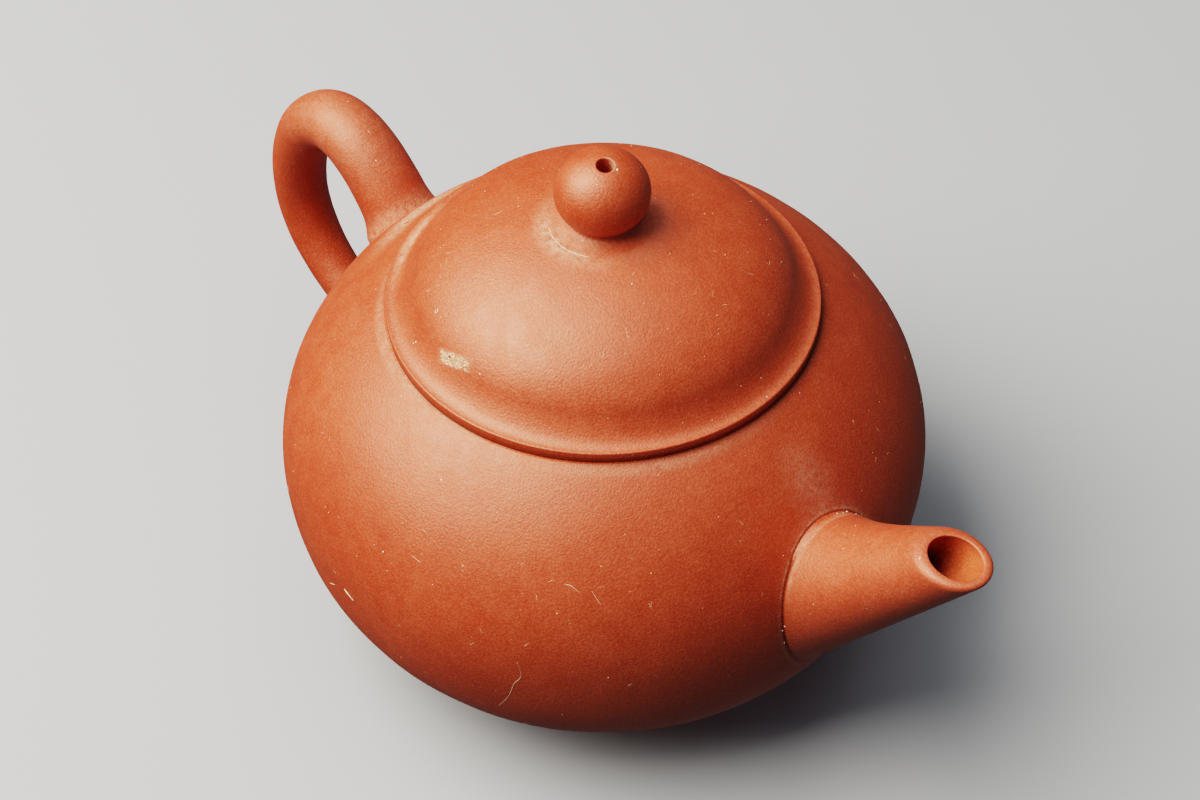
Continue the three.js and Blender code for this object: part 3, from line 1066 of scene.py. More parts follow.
@dataclass
class Spout:
    """A tapering tube whose sections turn from upright at the root to nearly level at the mouth."""

    bowl: Bowl
    root_top: float = 38.6
    root_bottom: float = 17.4
    root_width: float = 17.4
    flare_above: float = 1.5
    flare_beside: float = 0.9
    flare_sharpness: float = 4.0
    mouth_height: float = 48.5
    mouth_length: float = 9.1
    mouth_width: float = 7.9
    mouth_tilt: float = 5.0
    root_wall: float = 2.2
    mouth_wall: float = 1.25
    rim_rounding: float = 0.85
    bore_rounding: float = 0.22
    rounding_segments: int = 7
    throat: float = 1.3
    throat_narrows: Point = (0.3, 0.7)
    throat_opens: Point = (0.75, 1.0)
    crease_depth: float = 0.2
    crease_reach: float = 0.5
    crease_underneath: float = 0.25
    crease_opens: Point = (19.0, 27.0)
    buried: float = 1.6
    root_slack: float = 0.05
    hand_depth: float = 0.05
    hand_period: float = 6.0
    rings: int = 100
    rings_crowding: float = 1.5
    segments: int = 112
    last_ring: float = 0.95
    skin: Skin | None = field(default=None, init=False)

    def ring(self, share: float, wall: float) -> Matrix:
        """One section of the tube.

        Args:
            share: 0 at the root and 1 at the mouth.
            wall: how far the section is drawn in from the outer skin.

        Returns:
            The matrix that carries the unit circle to it.
        """
        tilt = math.radians(self.mouth_tilt)
        reach = self.bowl.marks.spout_reach
        outer = Vector((reach, 0.0, self.mouth_height - self.mouth_length / 2 * math.sin(tilt)))
        inner = outer + self.mouth_length * Vector((-math.cos(tilt), 0.0, math.sin(tilt)))
        cone_top = self.root_top - self.flare_above
        flare = (1.0 - share) ** self.flare_sharpness
        top = Vector((self.bowl.radius_at(cone_top), 0.0, cone_top)).lerp(inner, share)
        bottom = Vector((self.bowl.radius_at(self.root_bottom), 0.0, self.root_bottom)).lerp(outer, share)
        top.z += self.flare_above * flare
        centre = (top + bottom) / 2
        half_axis = top - centre
        half_axis.length -= wall
        half_width = blend(self.root_width / 2 - self.flare_beside, self.mouth_width / 2, share)
        return section(centre, half_axis, Vector((0.0, half_width + self.flare_beside * flare - wall, 0.0)))

    def bore_wall(self, share: float) -> float:
        """Returns the wall's thickness along the tube: it thins, but for a throat below the mouth."""
        narrowing = self.throat * fade(share, *self.throat_opens) * grow(share, *self.throat_narrows)
        return blend(self.root_wall, self.mouth_wall, share) + narrowing

    def build(self) -> None:
        """Models the tube with its bore."""
        steps = ((step / self.rings) ** self.rings_crowding for step in range(self.rings + 1))
        shares = [*(self.last_ring * step for step in steps), 1.0]
        outer = [self.ring(share, 0.0) for share in shares]
        channel = [self.ring(share, self.bore_wall(share)) for share in reversed(shares)]
        self.skin = lofted([outer[0], *outer, *channel, channel[-1]], self.segments, closed=True)
        self._round_mouth()
        self._tuck_root()
        hand_worked(self.skin, self.hand_depth, self.hand_period)
        self._finish_bore()

    def dress(self, clay: Clay, soil_and_shade: PlaceMap) -> None:
        """Turns the tube into an object.

        Args:
            clay: the finishes.
            soil_and_shade: the dust on it; below 0, painted shade in the crease at its root.
        """
        clay.piece(self.skin, "spout_tube", Body.POT, (Slot.BURNISHED, Slot.SCRAPED), ("spout",), soil_and_shade)

    def _finish_bore(self) -> None:
        """Gives the scraped finish to the faces that look towards the tube's middle, below the rim."""
        root, mouth = (self.ring(share, 0.0).translation for share in (0.0, 1.0))
        along = (mouth - root).normalized()
        self.skin.normal_update()
        for face in self.skin.faces:
            middle = face.calc_center_median()
            run = (middle - root).dot(along)
            looks_in = face.normal.dot(middle - root - along * run) < 0.0
            depth = (self.ring(1.0, 0.0).inverted() @ middle).z
            face.material_index = int(looks_in and abs(depth) > 2 * self.bore_rounding)

    def _round_mouth(self) -> None:
        """Rounds both edges of the cut mouth."""
        for wall, rounding in ((self.mouth_wall, self.bore_rounding), (0.0, self.rim_rounding)):
            back = self.ring(1.0, wall).inverted()
            edges = [edge for edge in self.skin.edges
                     if all(self._on_circle(back @ vert.co) for vert in edge.verts)]
            round_edges(self.skin, edges, rounding, self.rounding_segments)

    @staticmethod
    def _on_circle(place: Vector) -> bool:
        """Returns whether a point, in a section's own frame, lies on its circle."""
        return abs(place.z) < TOUCHING and abs(place.xy.length - 1.0) < TOUCHING

    def openness(self, place: Vector) -> float:
        """Returns how open the crease round the root is: open above, and smeared shut underneath."""
        return blend(self.crease_underneath, 1.0, grow(place.z, *self.crease_opens))

    def _tuck_root(self) -> None:
        """Sinks the root into the wall and draws the skin in just outside it, which leaves a crease."""
        middle = (self.root_top + self.root_bottom) / 2
        for vert in self.skin.verts:
            depth = self.bowl.outside(vert.co)
            inward = Vector((0.0, -vert.co.y, middle - vert.co.z)).normalized()
            move = inward * self.crease_depth * fade(depth, 0.0, self.crease_reach)
            vert.co += move * self.openness(vert.co)
        back = self.ring(0.0, 0.0).inverted()
        for vert in self.skin.verts:
            flat = back @ vert.co
            if abs(flat.z) < self.root_slack and vert.co.x < self.bowl.marks.belly_radius:
                radius = self.bowl.radius_at(vert.co.z) - self.buried
                vert.co.x = min(vert.co.x, math.sqrt(max(0.0, radius ** 2 - vert.co.y ** 2)))


@dataclass
class Handle:
    """An ear-shaped loop of rolled clay that thins from its upper root to its lower one."""

    bowl: Bowl
    root_top: float = 37.0
    root_bottom: float = 13.2
    apex_reach: float = 47.4
    back_height: float = 30.0
    rise: float = 56.0
    upper_width: float = 9.2
    lower_width: float = 5.3
    flatness: float = 0.9
    flare: float = 0.7
    flare_length: float = 3.4
    buried: float = 1.5
    hand_depth: float = 0.07
    hand_period: float = 7.0
    curve_steps: int = 80
    rings: int = 200
    segments: int = 72
    skin: Skin | None = field(default=None, init=False)

    def centreline(self) -> list[Vector]:
        """Works out the loop's centreline.

        Returns:
            Evenly spaced points, from the upper root to the lower one.
        """
        rise = math.radians(self.rise)
        half = (self.upper_width + self.lower_width) / 4 * self.flatness
        root = (self.bowl.radius_at(self.root_top), self.root_top)
        foot = (self.bowl.radius_at(self.root_bottom), self.root_bottom)
        apex = (self.apex_reach, self.bowl.marks.handle_top - half)
        back = (self.bowl.marks.handle_reach - half, self.back_height)
        pull = (root[0] + (apex[1] - root[1]) / math.tan(rise), apex[1])
        path = [
            (root[0] - self.buried * math.cos(rise), root[1] - self.buried * math.sin(rise)),
            *bend(root, pull, apex, self.curve_steps),
            *quarter((apex[0], back[1]), apex, back, self.curve_steps),
            *quarter((foot[0], back[1]), back, foot, self.curve_steps),
            (foot[0] - self.buried, foot[1]),
        ]
        return self._spaced([Vector((-reach, 0.0, height)) for reach, height in path])

    def _spaced(self, path: Sequence[Vector]) -> list[Vector]:
        """Spaces points evenly.

        Args:
            path: points of a line.

        Returns:
            A point of the line for each section, at even distances.
        """
        lengths = [0.0]
        for before, after in zip(path, path[1:]):
            lengths.append(lengths[-1] + (after - before).length)
        spaced, leg = [], 0
        for step in range(self.rings + 1):
            goal = lengths[-1] * step / self.rings
            while leg < len(path) - 2 and lengths[leg + 1] < goal:
                leg += 1
            share = (goal - lengths[leg]) / (lengths[leg + 1] - lengths[leg])
            spaced.append(path[leg].lerp(path[leg + 1], min(1.0, share)))
        return spaced

    def build(self) -> None:
        """Models the loop."""
        line = self.centreline()
        length = (line[1] - line[0]).length * self.rings
        sections = []
        for number, centre in enumerate(line):
            tangent = (line[min(number + 1, self.rings)] - line[max(number - 1, 0)]).normalized()
            share = number / self.rings
            from_root = min(share, 1.0 - share) * length - self.buried
            flare = self.flare * max(0.0, min(1.0, 1.0 - from_root / self.flare_length)) ** 2
            half = blend(self.upper_width, self.lower_width, share) / 2 + flare
            across = Vector((-tangent.z, 0.0, tangent.x)) * (half * self.flatness)
            sections.append(section(centre, across, Vector((0.0, half, 0.0))))
        self.skin = lofted(sections, self.segments, closed=False)
        hand_worked(self.skin, self.hand_depth, self.hand_period)

    def dress(self, clay: Clay, soil_and_shade: PlaceMap) -> None:
        """Turns the loop into an object.

        Args:
            clay: the finishes.
            soil_and_shade: the dust and grime on it.
        """
        clay.piece(self.skin, "handle_loop", Body.POT, (Slot.BURNISHED,), ("handle",), soil_and_shade)


@dataclass
class Lid:
    """The domed lid with its flared lip, the collar that drops into the mouth, and the pierced knob."""

    marks: Landmarks
    lip_thickness: float = 0.8
    lip_flat: float = 0.25
    lip_rounding: float = 0.18
    seat_rounding: float = 0.08
    dome_radius: float = 22.9
    dome_height: float = 12.0
    dome_thickness: float = 2.2
    brim_rise: float = 3.0
    collar_thickness: float = 1.7
    ball_radius: float = 5.55
    ball_half_height: float = 4.9
    ball_rise: float = 4.15
    neck_radius: float = 3.9
    neck_pull: Point = (-0.1, 0.45)
    knob_flare: float = 0.7
    knob_seam: float = 0.05
    knob_sunk: float = 0.4
    vent_sunk: float = 0.3
    vent_radius: float = 1.0
    vent_rounding: float = 0.16
    vent_lean: Point = (0.95, -0.4)
    lean_margin: float = 0.3
    lean_share: float = 0.85
    hand_depth: float = 0.07
    hand_period: float = 9.0
    calm_over_lip: Point = (0.8, 3.0)
    brim_steps: int = 20
    dome_steps: int = 60
    curve_steps: int = 40
    neck_steps: int = 16
    bore_steps: int = 12
    shell: Skin | None = field(default=None, init=False)
    knob: Skin | None = field(default=None, init=False)

    @property
    def lip_top(self) -> float:
        """Height of the lip's upper face."""
        return self.marks.seat_height + self.lip_thickness

    @property
    def ball_centre(self) -> float:
        """Height of the knob's middle."""
        return self.lip_top + self.dome_height + self.ball_rise

    def dome_at(self, radius: float) -> float:
        """Returns the height of the dome's outer face at a radius."""
        return self.lip_top + self.dome_height * math.sqrt(max(0.0, 1.0 - (radius / self.dome_radius) ** 2))

    def on_ball(self, radius: float) -> float:
        """Returns how far above the knob's middle its skin lies at a radius."""
        return self.ball_half_height * math.sqrt(max(0.0, 1.0 - (radius / self.ball_radius) ** 2))

    def build(self) -> None:
        """Models the dome and the knob."""
        self._build_shell()
        self._build_knob()

    def dress(self, clay: Clay, soil_and_shade: PlaceMap, knob_soil: PlaceMap) -> None:
        """Turns the lid's pieces into objects.

        Args:
            clay: the finishes.
            soil_and_shade: the dust and grime on the dome.
            knob_soil: the dust and grime on the knob.
        """
        clay.piece(self.shell, "lid_shell", Body.LID, (Slot.BURNISHED, Slot.SCRAPED), ("lid_dome",), soil_and_shade)
        clay.piece(self.knob, "knob_ball", Body.LID, (Slot.BURNISHED,), ("knob",), knob_soil)
        outer = self.marks.collar_radius
        inner = outer - self.collar_thickness
        foot = self.marks.collar_foot
        collar = turned(band_profile(inner, outer, foot, self.marks.seat_height), closed=True)
        round_loops(collar, [(inner, foot), (outer, foot)], self.lip_rounding)
        clay.piece(collar, "lid_collar", Body.LID, (Slot.SCRAPED,), ("lid_flange",), lambda place: 0.0)

    def _build_shell(self) -> None:
        """Models the dome and its lip, with the brim swept up into the dome's flank."""
        seat, top, lip = self.marks.seat_height, self.lip_top, self.marks.lip_radius
        hollow = self.marks.collar_radius - self.collar_thickness
        flank = self.dome_radius * math.sqrt(1.0 - (self.brim_rise / self.dome_height) ** 2)
        lean = self.brim_rise / flank * (self.dome_radius / self.dome_height) ** 2
        brim = bend((lip - self.lip_flat, top), (flank + lean * self.brim_rise, top),
                    (flank, top + self.brim_rise), self.brim_steps)
        outside = arc(self.dome_radius, self.dome_height, 2.0, top, self.brim_rise,
                      self.dome_at(self.vent_radius) - top, self.dome_steps)
        rise = self.lip_thickness + self.dome_height - self.dome_thickness
        crown = rise * math.sqrt(1.0 - (self.vent_radius / hollow) ** 2)
        inside = arc(hollow, rise, 2.0, seat, 0.0, crown, self.curve_steps)
        self.shell = turned([(lip, seat), (lip, top), *brim, *outside[1:], *reversed(inside)], closed=True)
        round_loops(self.shell, [(lip, top)], self.lip_rounding)
        round_loops(self.shell, [(lip, seat)], self.seat_rounding)
        none, full = (top + height for height in self.calm_over_lip)
        hand_worked(self.shell, self.hand_depth, self.hand_period, lambda place: grow(place.z, none, full))
        for face in self.shell.faces:
            middle = face.calc_center_median()
            radius = middle.xy.length
            under = radius < hollow and middle.z < self.dome_at(radius) - self.dome_thickness / 2
            face.material_index = int(under)

    def _build_knob(self) -> None:
        """Models the ball and its flared neck, with the vent bored through them."""
        centre = self.ball_centre
        foot = self.marks.knob_foot_radius + self.knob_flare
        foot_edge = (foot, self.dome_at(foot) - self.knob_seam)
        neck_top = (self.neck_radius, centre - self.on_ball(self.neck_radius))
        pull = (self.neck_radius + self.neck_pull[0], foot_edge[1] + self.neck_pull[1])
        flare = bend(foot_edge, pull, neck_top, self.neck_steps)
        ball = arc(self.ball_radius, self.ball_half_height, 2.0, centre, -self.on_ball(self.neck_radius),
                   self.on_ball(self.vent_radius), self.curve_steps)
        under = (self.vent_radius, self.dome_at(self.vent_radius) - self.vent_sunk)
        inset = foot - self.knob_flare
        sunk = (inset, self.dome_at(inset) - self.knob_sunk)
        bore = [(self.vent_radius, blend(ball[-1][1], under[1], step / self.bore_steps))
                for step in range(1, self.bore_steps)]
        self.knob = turned([under, sunk, *flare, *ball[1:], *bore], POT_SEGMENTS // 2, closed=True)
        round_loops(self.knob, [ball[-1]], self.vent_rounding)
        self._lean_vent()

    def _lean_vent(self) -> None:
        """Moves the vent's mouth off the axis, as a hole that was pierced by hand."""
        lean = Vector(self.vent_lean)
        foot = self.dome_at(self.vent_radius)
        full, gone = self.vent_radius + self.lean_margin, self.ball_radius * self.lean_share
        for vert in self.knob.verts:
            before = vert.co.xy.length
            rise = min(1.0, max(0.0, (vert.co.z - foot) / (self.ball_centre + self.ball_half_height - foot)))
            vert.co.xy += lean * fade(before, full, gone) * rise ** 2
            if vert.co.z > self.ball_centre:
                vert.co.z += (self.on_ball(vert.co.xy.length) - self.on_ball(before)) * rise


@dataclass(frozen=True)
class Line:
    """A line of soil at a distance from an edge; its side is the way to it and its reach, in degrees."""

    strength: float
    distance: float
    width: float
    side: Point | None = None

    def at(self, place: Vector, distance: float) -> float:
        """Returns the soil at a place that lies at a distance from the edge."""
        share = 1.0 if self.side is None else sector(place, *self.side)
        return self.strength * share * ridge(distance, self.distance, self.width)


@dataclass(frozen=True)
class Film:
    """Dust, or painted shade where its strength is below 0, that has its full strength up to one distance
    from an edge and is gone at another.
    """

    strength: float
    full: float
    gone: float

    def at(self, distance: float) -> float:
        """Returns the soil at a distance from the edge."""
        return self.strength * fade(distance, self.full, self.gone)


@dataclass
class SoilAndShade:
    """Where tea, dust and handling have left their marks, and where shade is painted: in creases, under the
    lip and round the knob.

    Dust is above 0; below 0 is painted shade in the spout's root crease and under the lid's lip, and a faint
    darkening inside the pot and the lid.
    """

    bowl: Bowl
    spout: Spout
    handle: Handle
    lid: Lid
    scale_patch: ScalePatch
    root_side: float = 25.0
    lip_crease: Point = (-0.6, 3.0)
    spout_crease: float = 0.9
    handle_crease: float = 0.7
    inside_pot: float = -0.12
    lip_reach: float = 14.0
    lip_lines: tuple[Line, ...] = (
        Line(0.22, distance=0.7, width=1.1, side=(-30.0, 50.0)),
        Line(0.28, distance=0.7, width=0.9, side=(-115.0, 48.0)),
        Line(0.75, distance=4.4, width=2.6, side=(-176.0, 24.0)),
        Line(0.2, distance=7.5, width=5.5, side=(2.0, 8.0)),
    )
    # Just under the lid's lip: painted shade (-0.8) all round but for the dusty side, where pale dust (0.6)
    # lies instead.
    under_lip_shade_and_dust: Point = (-0.8, 0.6)
    under_lip_reach: Point = (0.02, 0.5)
    dusty_side: Point = (-95.0, 75.0)
    root_line: Line = Line(0.4, distance=0.32, width=0.24)
    root_film: Film = Film(0.15, full=0.3, gone=1.6)
    root_film_rises: Point = (30.0, 36.0)
    # Painted shade in the crease round the spout's root, fainter where the crease is smeared shut.
    root_crease_shade: Film = Film(-0.7, full=0.05, gone=0.24)
    handle_root: Film = Film(0.4, full=0.2, gone=2.6)
    spout_all_over: float = 0.05
    spout_line: Line = Line(0.3, distance=0.75, width=0.6)
    spout_line_rises: Point = (31.0, 37.0)
    # Painted shade on the spout's side of the same crease.
    spout_crease_shade: Film = Film(-0.7, full=0.1, gone=0.4)
    handle_film: Film = Film(0.34, full=0.2, gone=4.0)
    handle_top: float = 0.1
    handle_top_rises: Point = (40.0, 46.0)
    knob_side: Point = (-100.0, 80.0)
    knob_foot: Film = Film(0.3, full=0.0, gone=1.0)
    vent_line: Line = Line(0.7, distance=0.12, width=0.22, side=(75.0, 95.0))
    inside_lid: float = -0.1
    lip_underside: float = 0.15
    lid_hollow: Point = (1.2, 22.0)
    knob_line: Line = Line(0.48, distance=6.6, width=1.9, side=(-100.0, 80.0))
    knob_film: Film = Film(0.1, full=6.5, gone=9.0)
    brim_line: Line = Line(0.5, distance=24.4, width=1.1, side=(-156.0, 22.0))
    brim_edge: Line = Line(0.06, distance=24.7, width=0.8)
    round_scale: float = 0.55

    def __post_init__(self) -> None:
        """Remembers the pieces that meet the body."""
        self.spout_contact = Contact(self.spout.skin)
        self.handle_contact = Contact(self.handle.skin)

    def in_crease(self, place: Vector) -> bool:
        """Looks whether another piece meets the body close by.

        Args:
            place: a place on the body.

        Returns:
            Whether it lies by the lid's lip or by the root of the spout or the handle.
        """
        inner, outer = self.lip_crease
        from_lip = place.xy.length - self.bowl.marks.lip_radius
        if place.z > self.bowl.belly_height and from_lip < outer:
            return from_lip > inner
        if place.x > self.root_side:
            return self.spout_contact.gap(place) < self.spout_crease
        return place.x < -self.root_side and self.handle_contact.gap(place) < self.handle_crease

    def on_bowl(self, place: Vector) -> float:
        """Works out the dust and the painted shade on the body.

        Args:
            place: a place on it.

        Returns:
            The dust there, and below 0 the painted shade.
        """
        if self.bowl.outside(place) < -self.bowl.wall / 2:
            return self.inside_pot
        soil_and_shade = 0.0
        from_lip = place.xy.length - self.bowl.marks.lip_radius
        if place.z > self.bowl.belly_height and from_lip < self.lip_reach:
            soil_and_shade += sum(line.at(place, from_lip) for line in self.lip_lines)
            # Painted shade under the lid's lip, turning to pale dust on the dusty side.
            under = blend(*self.under_lip_shade_and_dust, sector(place, *self.dusty_side))
            soil_and_shade += under * fade(from_lip, *self.under_lip_reach)
        if place.x > self.root_side:
            gap = self.spout_contact.gap(place)
            soil_and_shade += self.root_line.at(place, gap)
            soil_and_shade += self.root_film.at(gap) * grow(place.z, *self.root_film_rises)
            # Painted shade in the crease round the spout's root, on the body's side.
            soil_and_shade += self.root_crease_shade.at(gap) * self.spout.openness(place)
        if place.x < -self.root_side:
            soil_and_shade += self.handle_root.at(self.handle_contact.gap(place))
        return soil_and_shade

    def on_spout(self, place: Vector) -> float:
        """Works out the dust and the painted crease shade on the spout.

        Args:
            place: a place on it.

        Returns:
            The dust there, and below 0 the painted shade.
        """
        depth = self.bowl.outside(place)
        dust = self.spout_all_over + self.spout_line.at(place, depth) * grow(place.z, *self.spout_line_rises)
        # Painted shade in the crease where the spout meets the body.
        return dust + self.spout_crease_shade.at(depth) * self.spout.openness(place)

    def on_handle(self, place: Vector) -> float:
        """Returns the soil at a point of the handle."""
        top = self.handle_top * grow(place.z, *self.handle_top_rises)
        return self.handle_film.at(self.bowl.outside(place)) + top

    def on_knob(self, place: Vector) -> float:
        """Works out the soil on the knob, which lies at its foot and round half of the vent.

        Args:
            place: a place on it.

        Returns:
            The soil there.
        """
        foot = self.lid.dome_at(self.lid.marks.knob_foot_radius)
        if place.z < self.lid.ball_centre:
            return self.knob_foot.at(place.z - foot) * sector(place, *self.knob_side)
        off = Vector((place.x - self.lid.vent_lean[0], place.y - self.lid.vent_lean[1], 0.0))
        return self.vent_line.at(off, off.length - self.lid.vent_radius)

    def on_lid(self, place: Vector) -> float:
        """Works out the soil on the dome.

        Args:
            place: a place on it.

        Returns:
            The soil there.
        """
        radius = place.xy.length
        depth, reach = self.lid_hollow
        in_hollow = place.z < self.lid.dome_at(radius) - depth and radius < reach
        if in_hollow or place.z < self.lid.marks.seat_height + self.lip_underside:
            return self.inside_lid
        round_knob = self.knob_line.at(place, radius) + self.knob_film.at(radius)
        worn_brim = self.brim_line.at(place, radius) + self.brim_edge.at(place, radius)
        return round_knob + worn_brim + self.round_scale * self.scale_patch.film(place)


@dataclass(frozen=True)
class Strand:
    """A thin fibre or dried smear that follows the clay."""

    points: tuple[Place, ...]
    half_width: float


@dataclass(frozen=True)
class ScalePatch:
    """A small crust of dried tea scale on the lid's flank, laid in torn rows."""

    centre: Place = (-1.3, -21.9, 52.95)
    along: Place = (2.3, 0.25, 0.67)
    across: Place = (0.3, -0.38, -0.63)
    flakes: int = 420
    flake_length: Point = (0.12, 0.3)
    flake_width: Point = (0.022, 0.045)
    flake_height: Point = (0.03, 0.06)
    flake_turn: float = 0.35
    raggedness: float = 0.3
    torn_below: float = -0.22
    film_reach: float = 5.0
    film_edge: Point = (0.8, 1.2)
    seed: int = 11

    def spot(self, u: float, v: float) -> Vector:
        """Returns the place at two shares of the patch's half-axes."""
        return Vector(self.centre) + u * Vector(self.along) + v * Vector(self.across)

    def film(self, place: Vector) -> float:
        """Works out how much there is of the thin film round the crust.

        Args:
            place: a place on the lid.

        Returns:
            A number from 0 to 1.
        """
        offset = place - Vector(self.centre)
        if offset.length > self.film_reach:
            return 0.0
        along, across = Vector(self.along), Vector(self.across)
        mixed = along.dot(across)
        scale = along.length_squared * across.length_squared - mixed ** 2
        u = (offset.dot(along) * across.length_squared - offset.dot(across) * mixed) / scale
        v = (offset.dot(across) * along.length_squared - offset.dot(along) * mixed) / scale
        return fade(max(abs(u), abs(v)), *self.film_edge)

    def build(self, contact: Contact) -> Skin:
        """Lays the flakes, but for those beyond the ragged edge and in the torn rows.

        Args:
            contact: the lid's skin.

        Returns:
            A skin that holds them all.
        """
        dice = random.Random(self.seed)
        crust = bmesh.new()
        for _ in range(self.flakes):
            u, v = dice.uniform(-1.0, 1.0), dice.uniform(-1.0, 1.0)
            edge = 1.0 - self.raggedness / 2 + self.raggedness * noise.noise(Vector((3.0 * u, 3.0 * v, 7.0)))
            torn = noise.noise(Vector((2.0 * u, 4.5 * v, 2.0))) < self.torn_below
            place, normal = contact.seat(self.spot(u, v))
            length, width, height = (
                dice.uniform(*span) for span in (self.flake_length, self.flake_width, self.flake_height))
            if torn or max(abs(u), abs(v)) > edge:
                continue
            stray = dice.uniform(-self.flake_turn, self.flake_turn) * Vector(self.across)
            aim = (Vector(self.along).normalized() + stray).normalized()
            side = normal.cross(aim).normalized()
            turn = Matrix((side.cross(normal), side, normal)).transposed().to_4x4()
            lay = Matrix.Translation(place) @ turn @ Matrix.Diagonal((length, width, height, 1.0))
            bmesh.ops.create_icosphere(crust, subdivisions=1, radius=1.0, matrix=lay)
        return crust


@dataclass
class Deposits:
    """Small things that have dried or settled on one body: scale, lint, and grit standing on the skin."""

    body: Body
    contacts: Sequence[Contact]
    strands: Sequence[Strand]
    flecks: Sequence[tuple[Place, float]]
    leg_steps: int = 6
    sides: int = 8
    thin_end: float = 0.35
    unevenness: float = 0.4
    lift: float = 0.4
    flatness: float = 0.7
    fleck_stretch: float = 0.5

    def seat(self, place: Vector) -> tuple[Vector, Vector]:
        """Returns the nearest point on any of the skins, and the way that it faces."""
        found = [contact.seat(place) for contact in self.contacts]
        return min(found, key=lambda spot: (spot[0] - place).length)

    def strand(self, strand: Strand) -> Skin:
        """Lays a strand on the clay.

        Args:
            strand: its points and width.

        Returns:
            Its skin.
        """
        points = [Vector(point) for point in strand.points]
        steps = self.leg_steps * (len(points) - 1)
        path = []
        for step in range(steps + 1):
            at = step / self.leg_steps
            leg = min(int(at), len(points) - 2)
            before, after = points[max(leg - 1, 0)], points[min(leg + 2, len(points) - 1)]
            start, end, t = points[leg], points[leg + 1], at - leg
            curve = start * (2 * t ** 3 - 3 * t ** 2 + 1) + (end - before) / 2 * (t ** 3 - 2 * t ** 2 + t)
            curve += end * (3 * t ** 2 - 2 * t ** 3) + (after - start) / 2 * (t ** 3 - t ** 2)
            path.append(self.seat(curve))
        sections = []
        for number, (place, normal) in enumerate(path):
            tangent = path[min(number + 1, steps)][0] - path[max(number - 1, 0)][0]
            side = normal.cross(tangent).normalized()
            swell = blend(self.thin_end, 1.0, math.sin(math.pi * (number + 0.5) / (steps + 1)))
            swell *= 1.0 + self.unevenness * noise.noise(place * 3.0)
            half = strand.half_width * swell
            centre = place + normal * half * self.lift
            sections.append(section(centre, side * half, normal * half * self.flatness))
        return lofted(sections, self.sides, closed=False)

    def fleck(self, bm: Skin, place: Vector, size: float) -> None:
        """Adds a grain that stands half out of the clay.

        Args:
            bm: the skin that it is added to.
            place: about where it lies.
            size: its half width.
        """
        spot, normal = self.seat(place)
        stretch = 1.0 + self.fleck_stretch * noise.noise(place * 5.0)
        turn = normal.to_track_quat("Z", "Y").to_matrix().to_4x4()
        shape = Matrix.Diagonal((size * stretch, size, size * self.flatness, 1.0))
        lay = Matrix.Translation(spot) @ turn @ shape
        bmesh.ops.create_icosphere(bm, subdivisions=1, radius=1.0, matrix=lay)

    def dress(self, name: str, material: bpy.types.Material) -> None:
        """Turns the strands and flecks into one object.

        Args:
            name: the object's name.
            material: the finish.
        """
        grains = bmesh.new()
        for place, size in self.flecks:
            self.fleck(grains, Vector(place), size)
        fibres = [self.strand(strand) for strand in self.strands]
        placed(gathered([*fibres, grains]), name, self.body, [material])


LID_STRANDS = (
    Strand(((-3.5, -5.1, 61.1), (-1.9, -5.9, 61.1), (0.0, -6.2, 61.1), (1.8, -5.9, 61.1),
            (3.4, -5.1, 61.1)), 0.04),
    Strand(((-7.3, -19.15, 54.9), (-7.1, -19.05, 55.05), (-6.93, -19.25, 54.95), (-7.05, -19.4, 54.75),
            (-7.28, -19.35, 54.75), (-7.3, -19.15, 54.9)), 0.035),
)
LID_FLECKS = (
    ((2.25, 0.25, 70.2), 0.15), ((2.01, -2.68, 69.59), 0.1), ((9.16, -4.16, 60.31), 0.12),
    ((2.68, -21.47, 53.45), 0.1), ((-5.96, -19.56, 54.93), 0.07), ((-8.11, -21.69, 50.86), 0.14),
    ((-8.4, -21.9, 50.6), 0.09), ((24.84, 1.84, 49.55), 0.13), ((23.09, 2.61, 50.76), 0.11),
    ((22.81, -0.34, 51.37), 0.08),
)
# Dark flecks that paint the shade in the pits of the tea-scale crust.
SCALE_PITS = (((-2.05, -21.8, 52.95), 0.13), ((-1.85, -21.8, 53.0), 0.09), ((-1.0, -22.1, 52.7), 0.07),
              ((-0.2, -21.8, 53.2), 0.06))
POT_STRANDS = (
    Strand(((-3.12, -38.86, 25.65), (-2.3, -38.9, 25.4), (-1.46, -38.95, 25.0)), 0.1),
    Strand(((-6.64, -38.27, 23.26), (-5.24, -38.58, 24.34)), 0.04),
    Strand(((6.1, -35.78, 36.92), (7.61, -35.62, 36.68)), 0.025),
    Strand(((20.4, -32.9, 28.2), (20.92, -32.91, 26.04), (20.12, -33.32, 24.21), (19.09, -33.44, 20.99),
            (17.24, -33.44, 17.61)), 0.026),
    Strand(((22.3, -27.28, 38.71), (22.9, -26.7, 38.5), (24.0, -26.45, 37.94)), 0.022),
    Strand(((24.87, -25.44, 38.18), (25.7, -25.5, 37.5), (26.15, -25.29, 36.76)), 0.025),
)
POT_FLECKS = (
    ((12.26, -33.36, 38.24), 0.12), ((2.5, -36.97, 35.39), 0.12), ((3.75, -37.58, 33.62), 0.08),
    ((52.4, -2.9, 48.6), 0.15), ((35.94, 4.1, 37.4), 0.16), ((36.6, 4.9, 36.6), 0.1),
    ((35.8, 2.6, 38.2), 0.12), ((36.0, 3.4, 37.8), 0.09), ((38.3, -8.0, 29.2), 0.13),
    ((38.2, -8.2, 28.3), 0.1), ((38.3, -7.9, 26.0), 0.12),
)


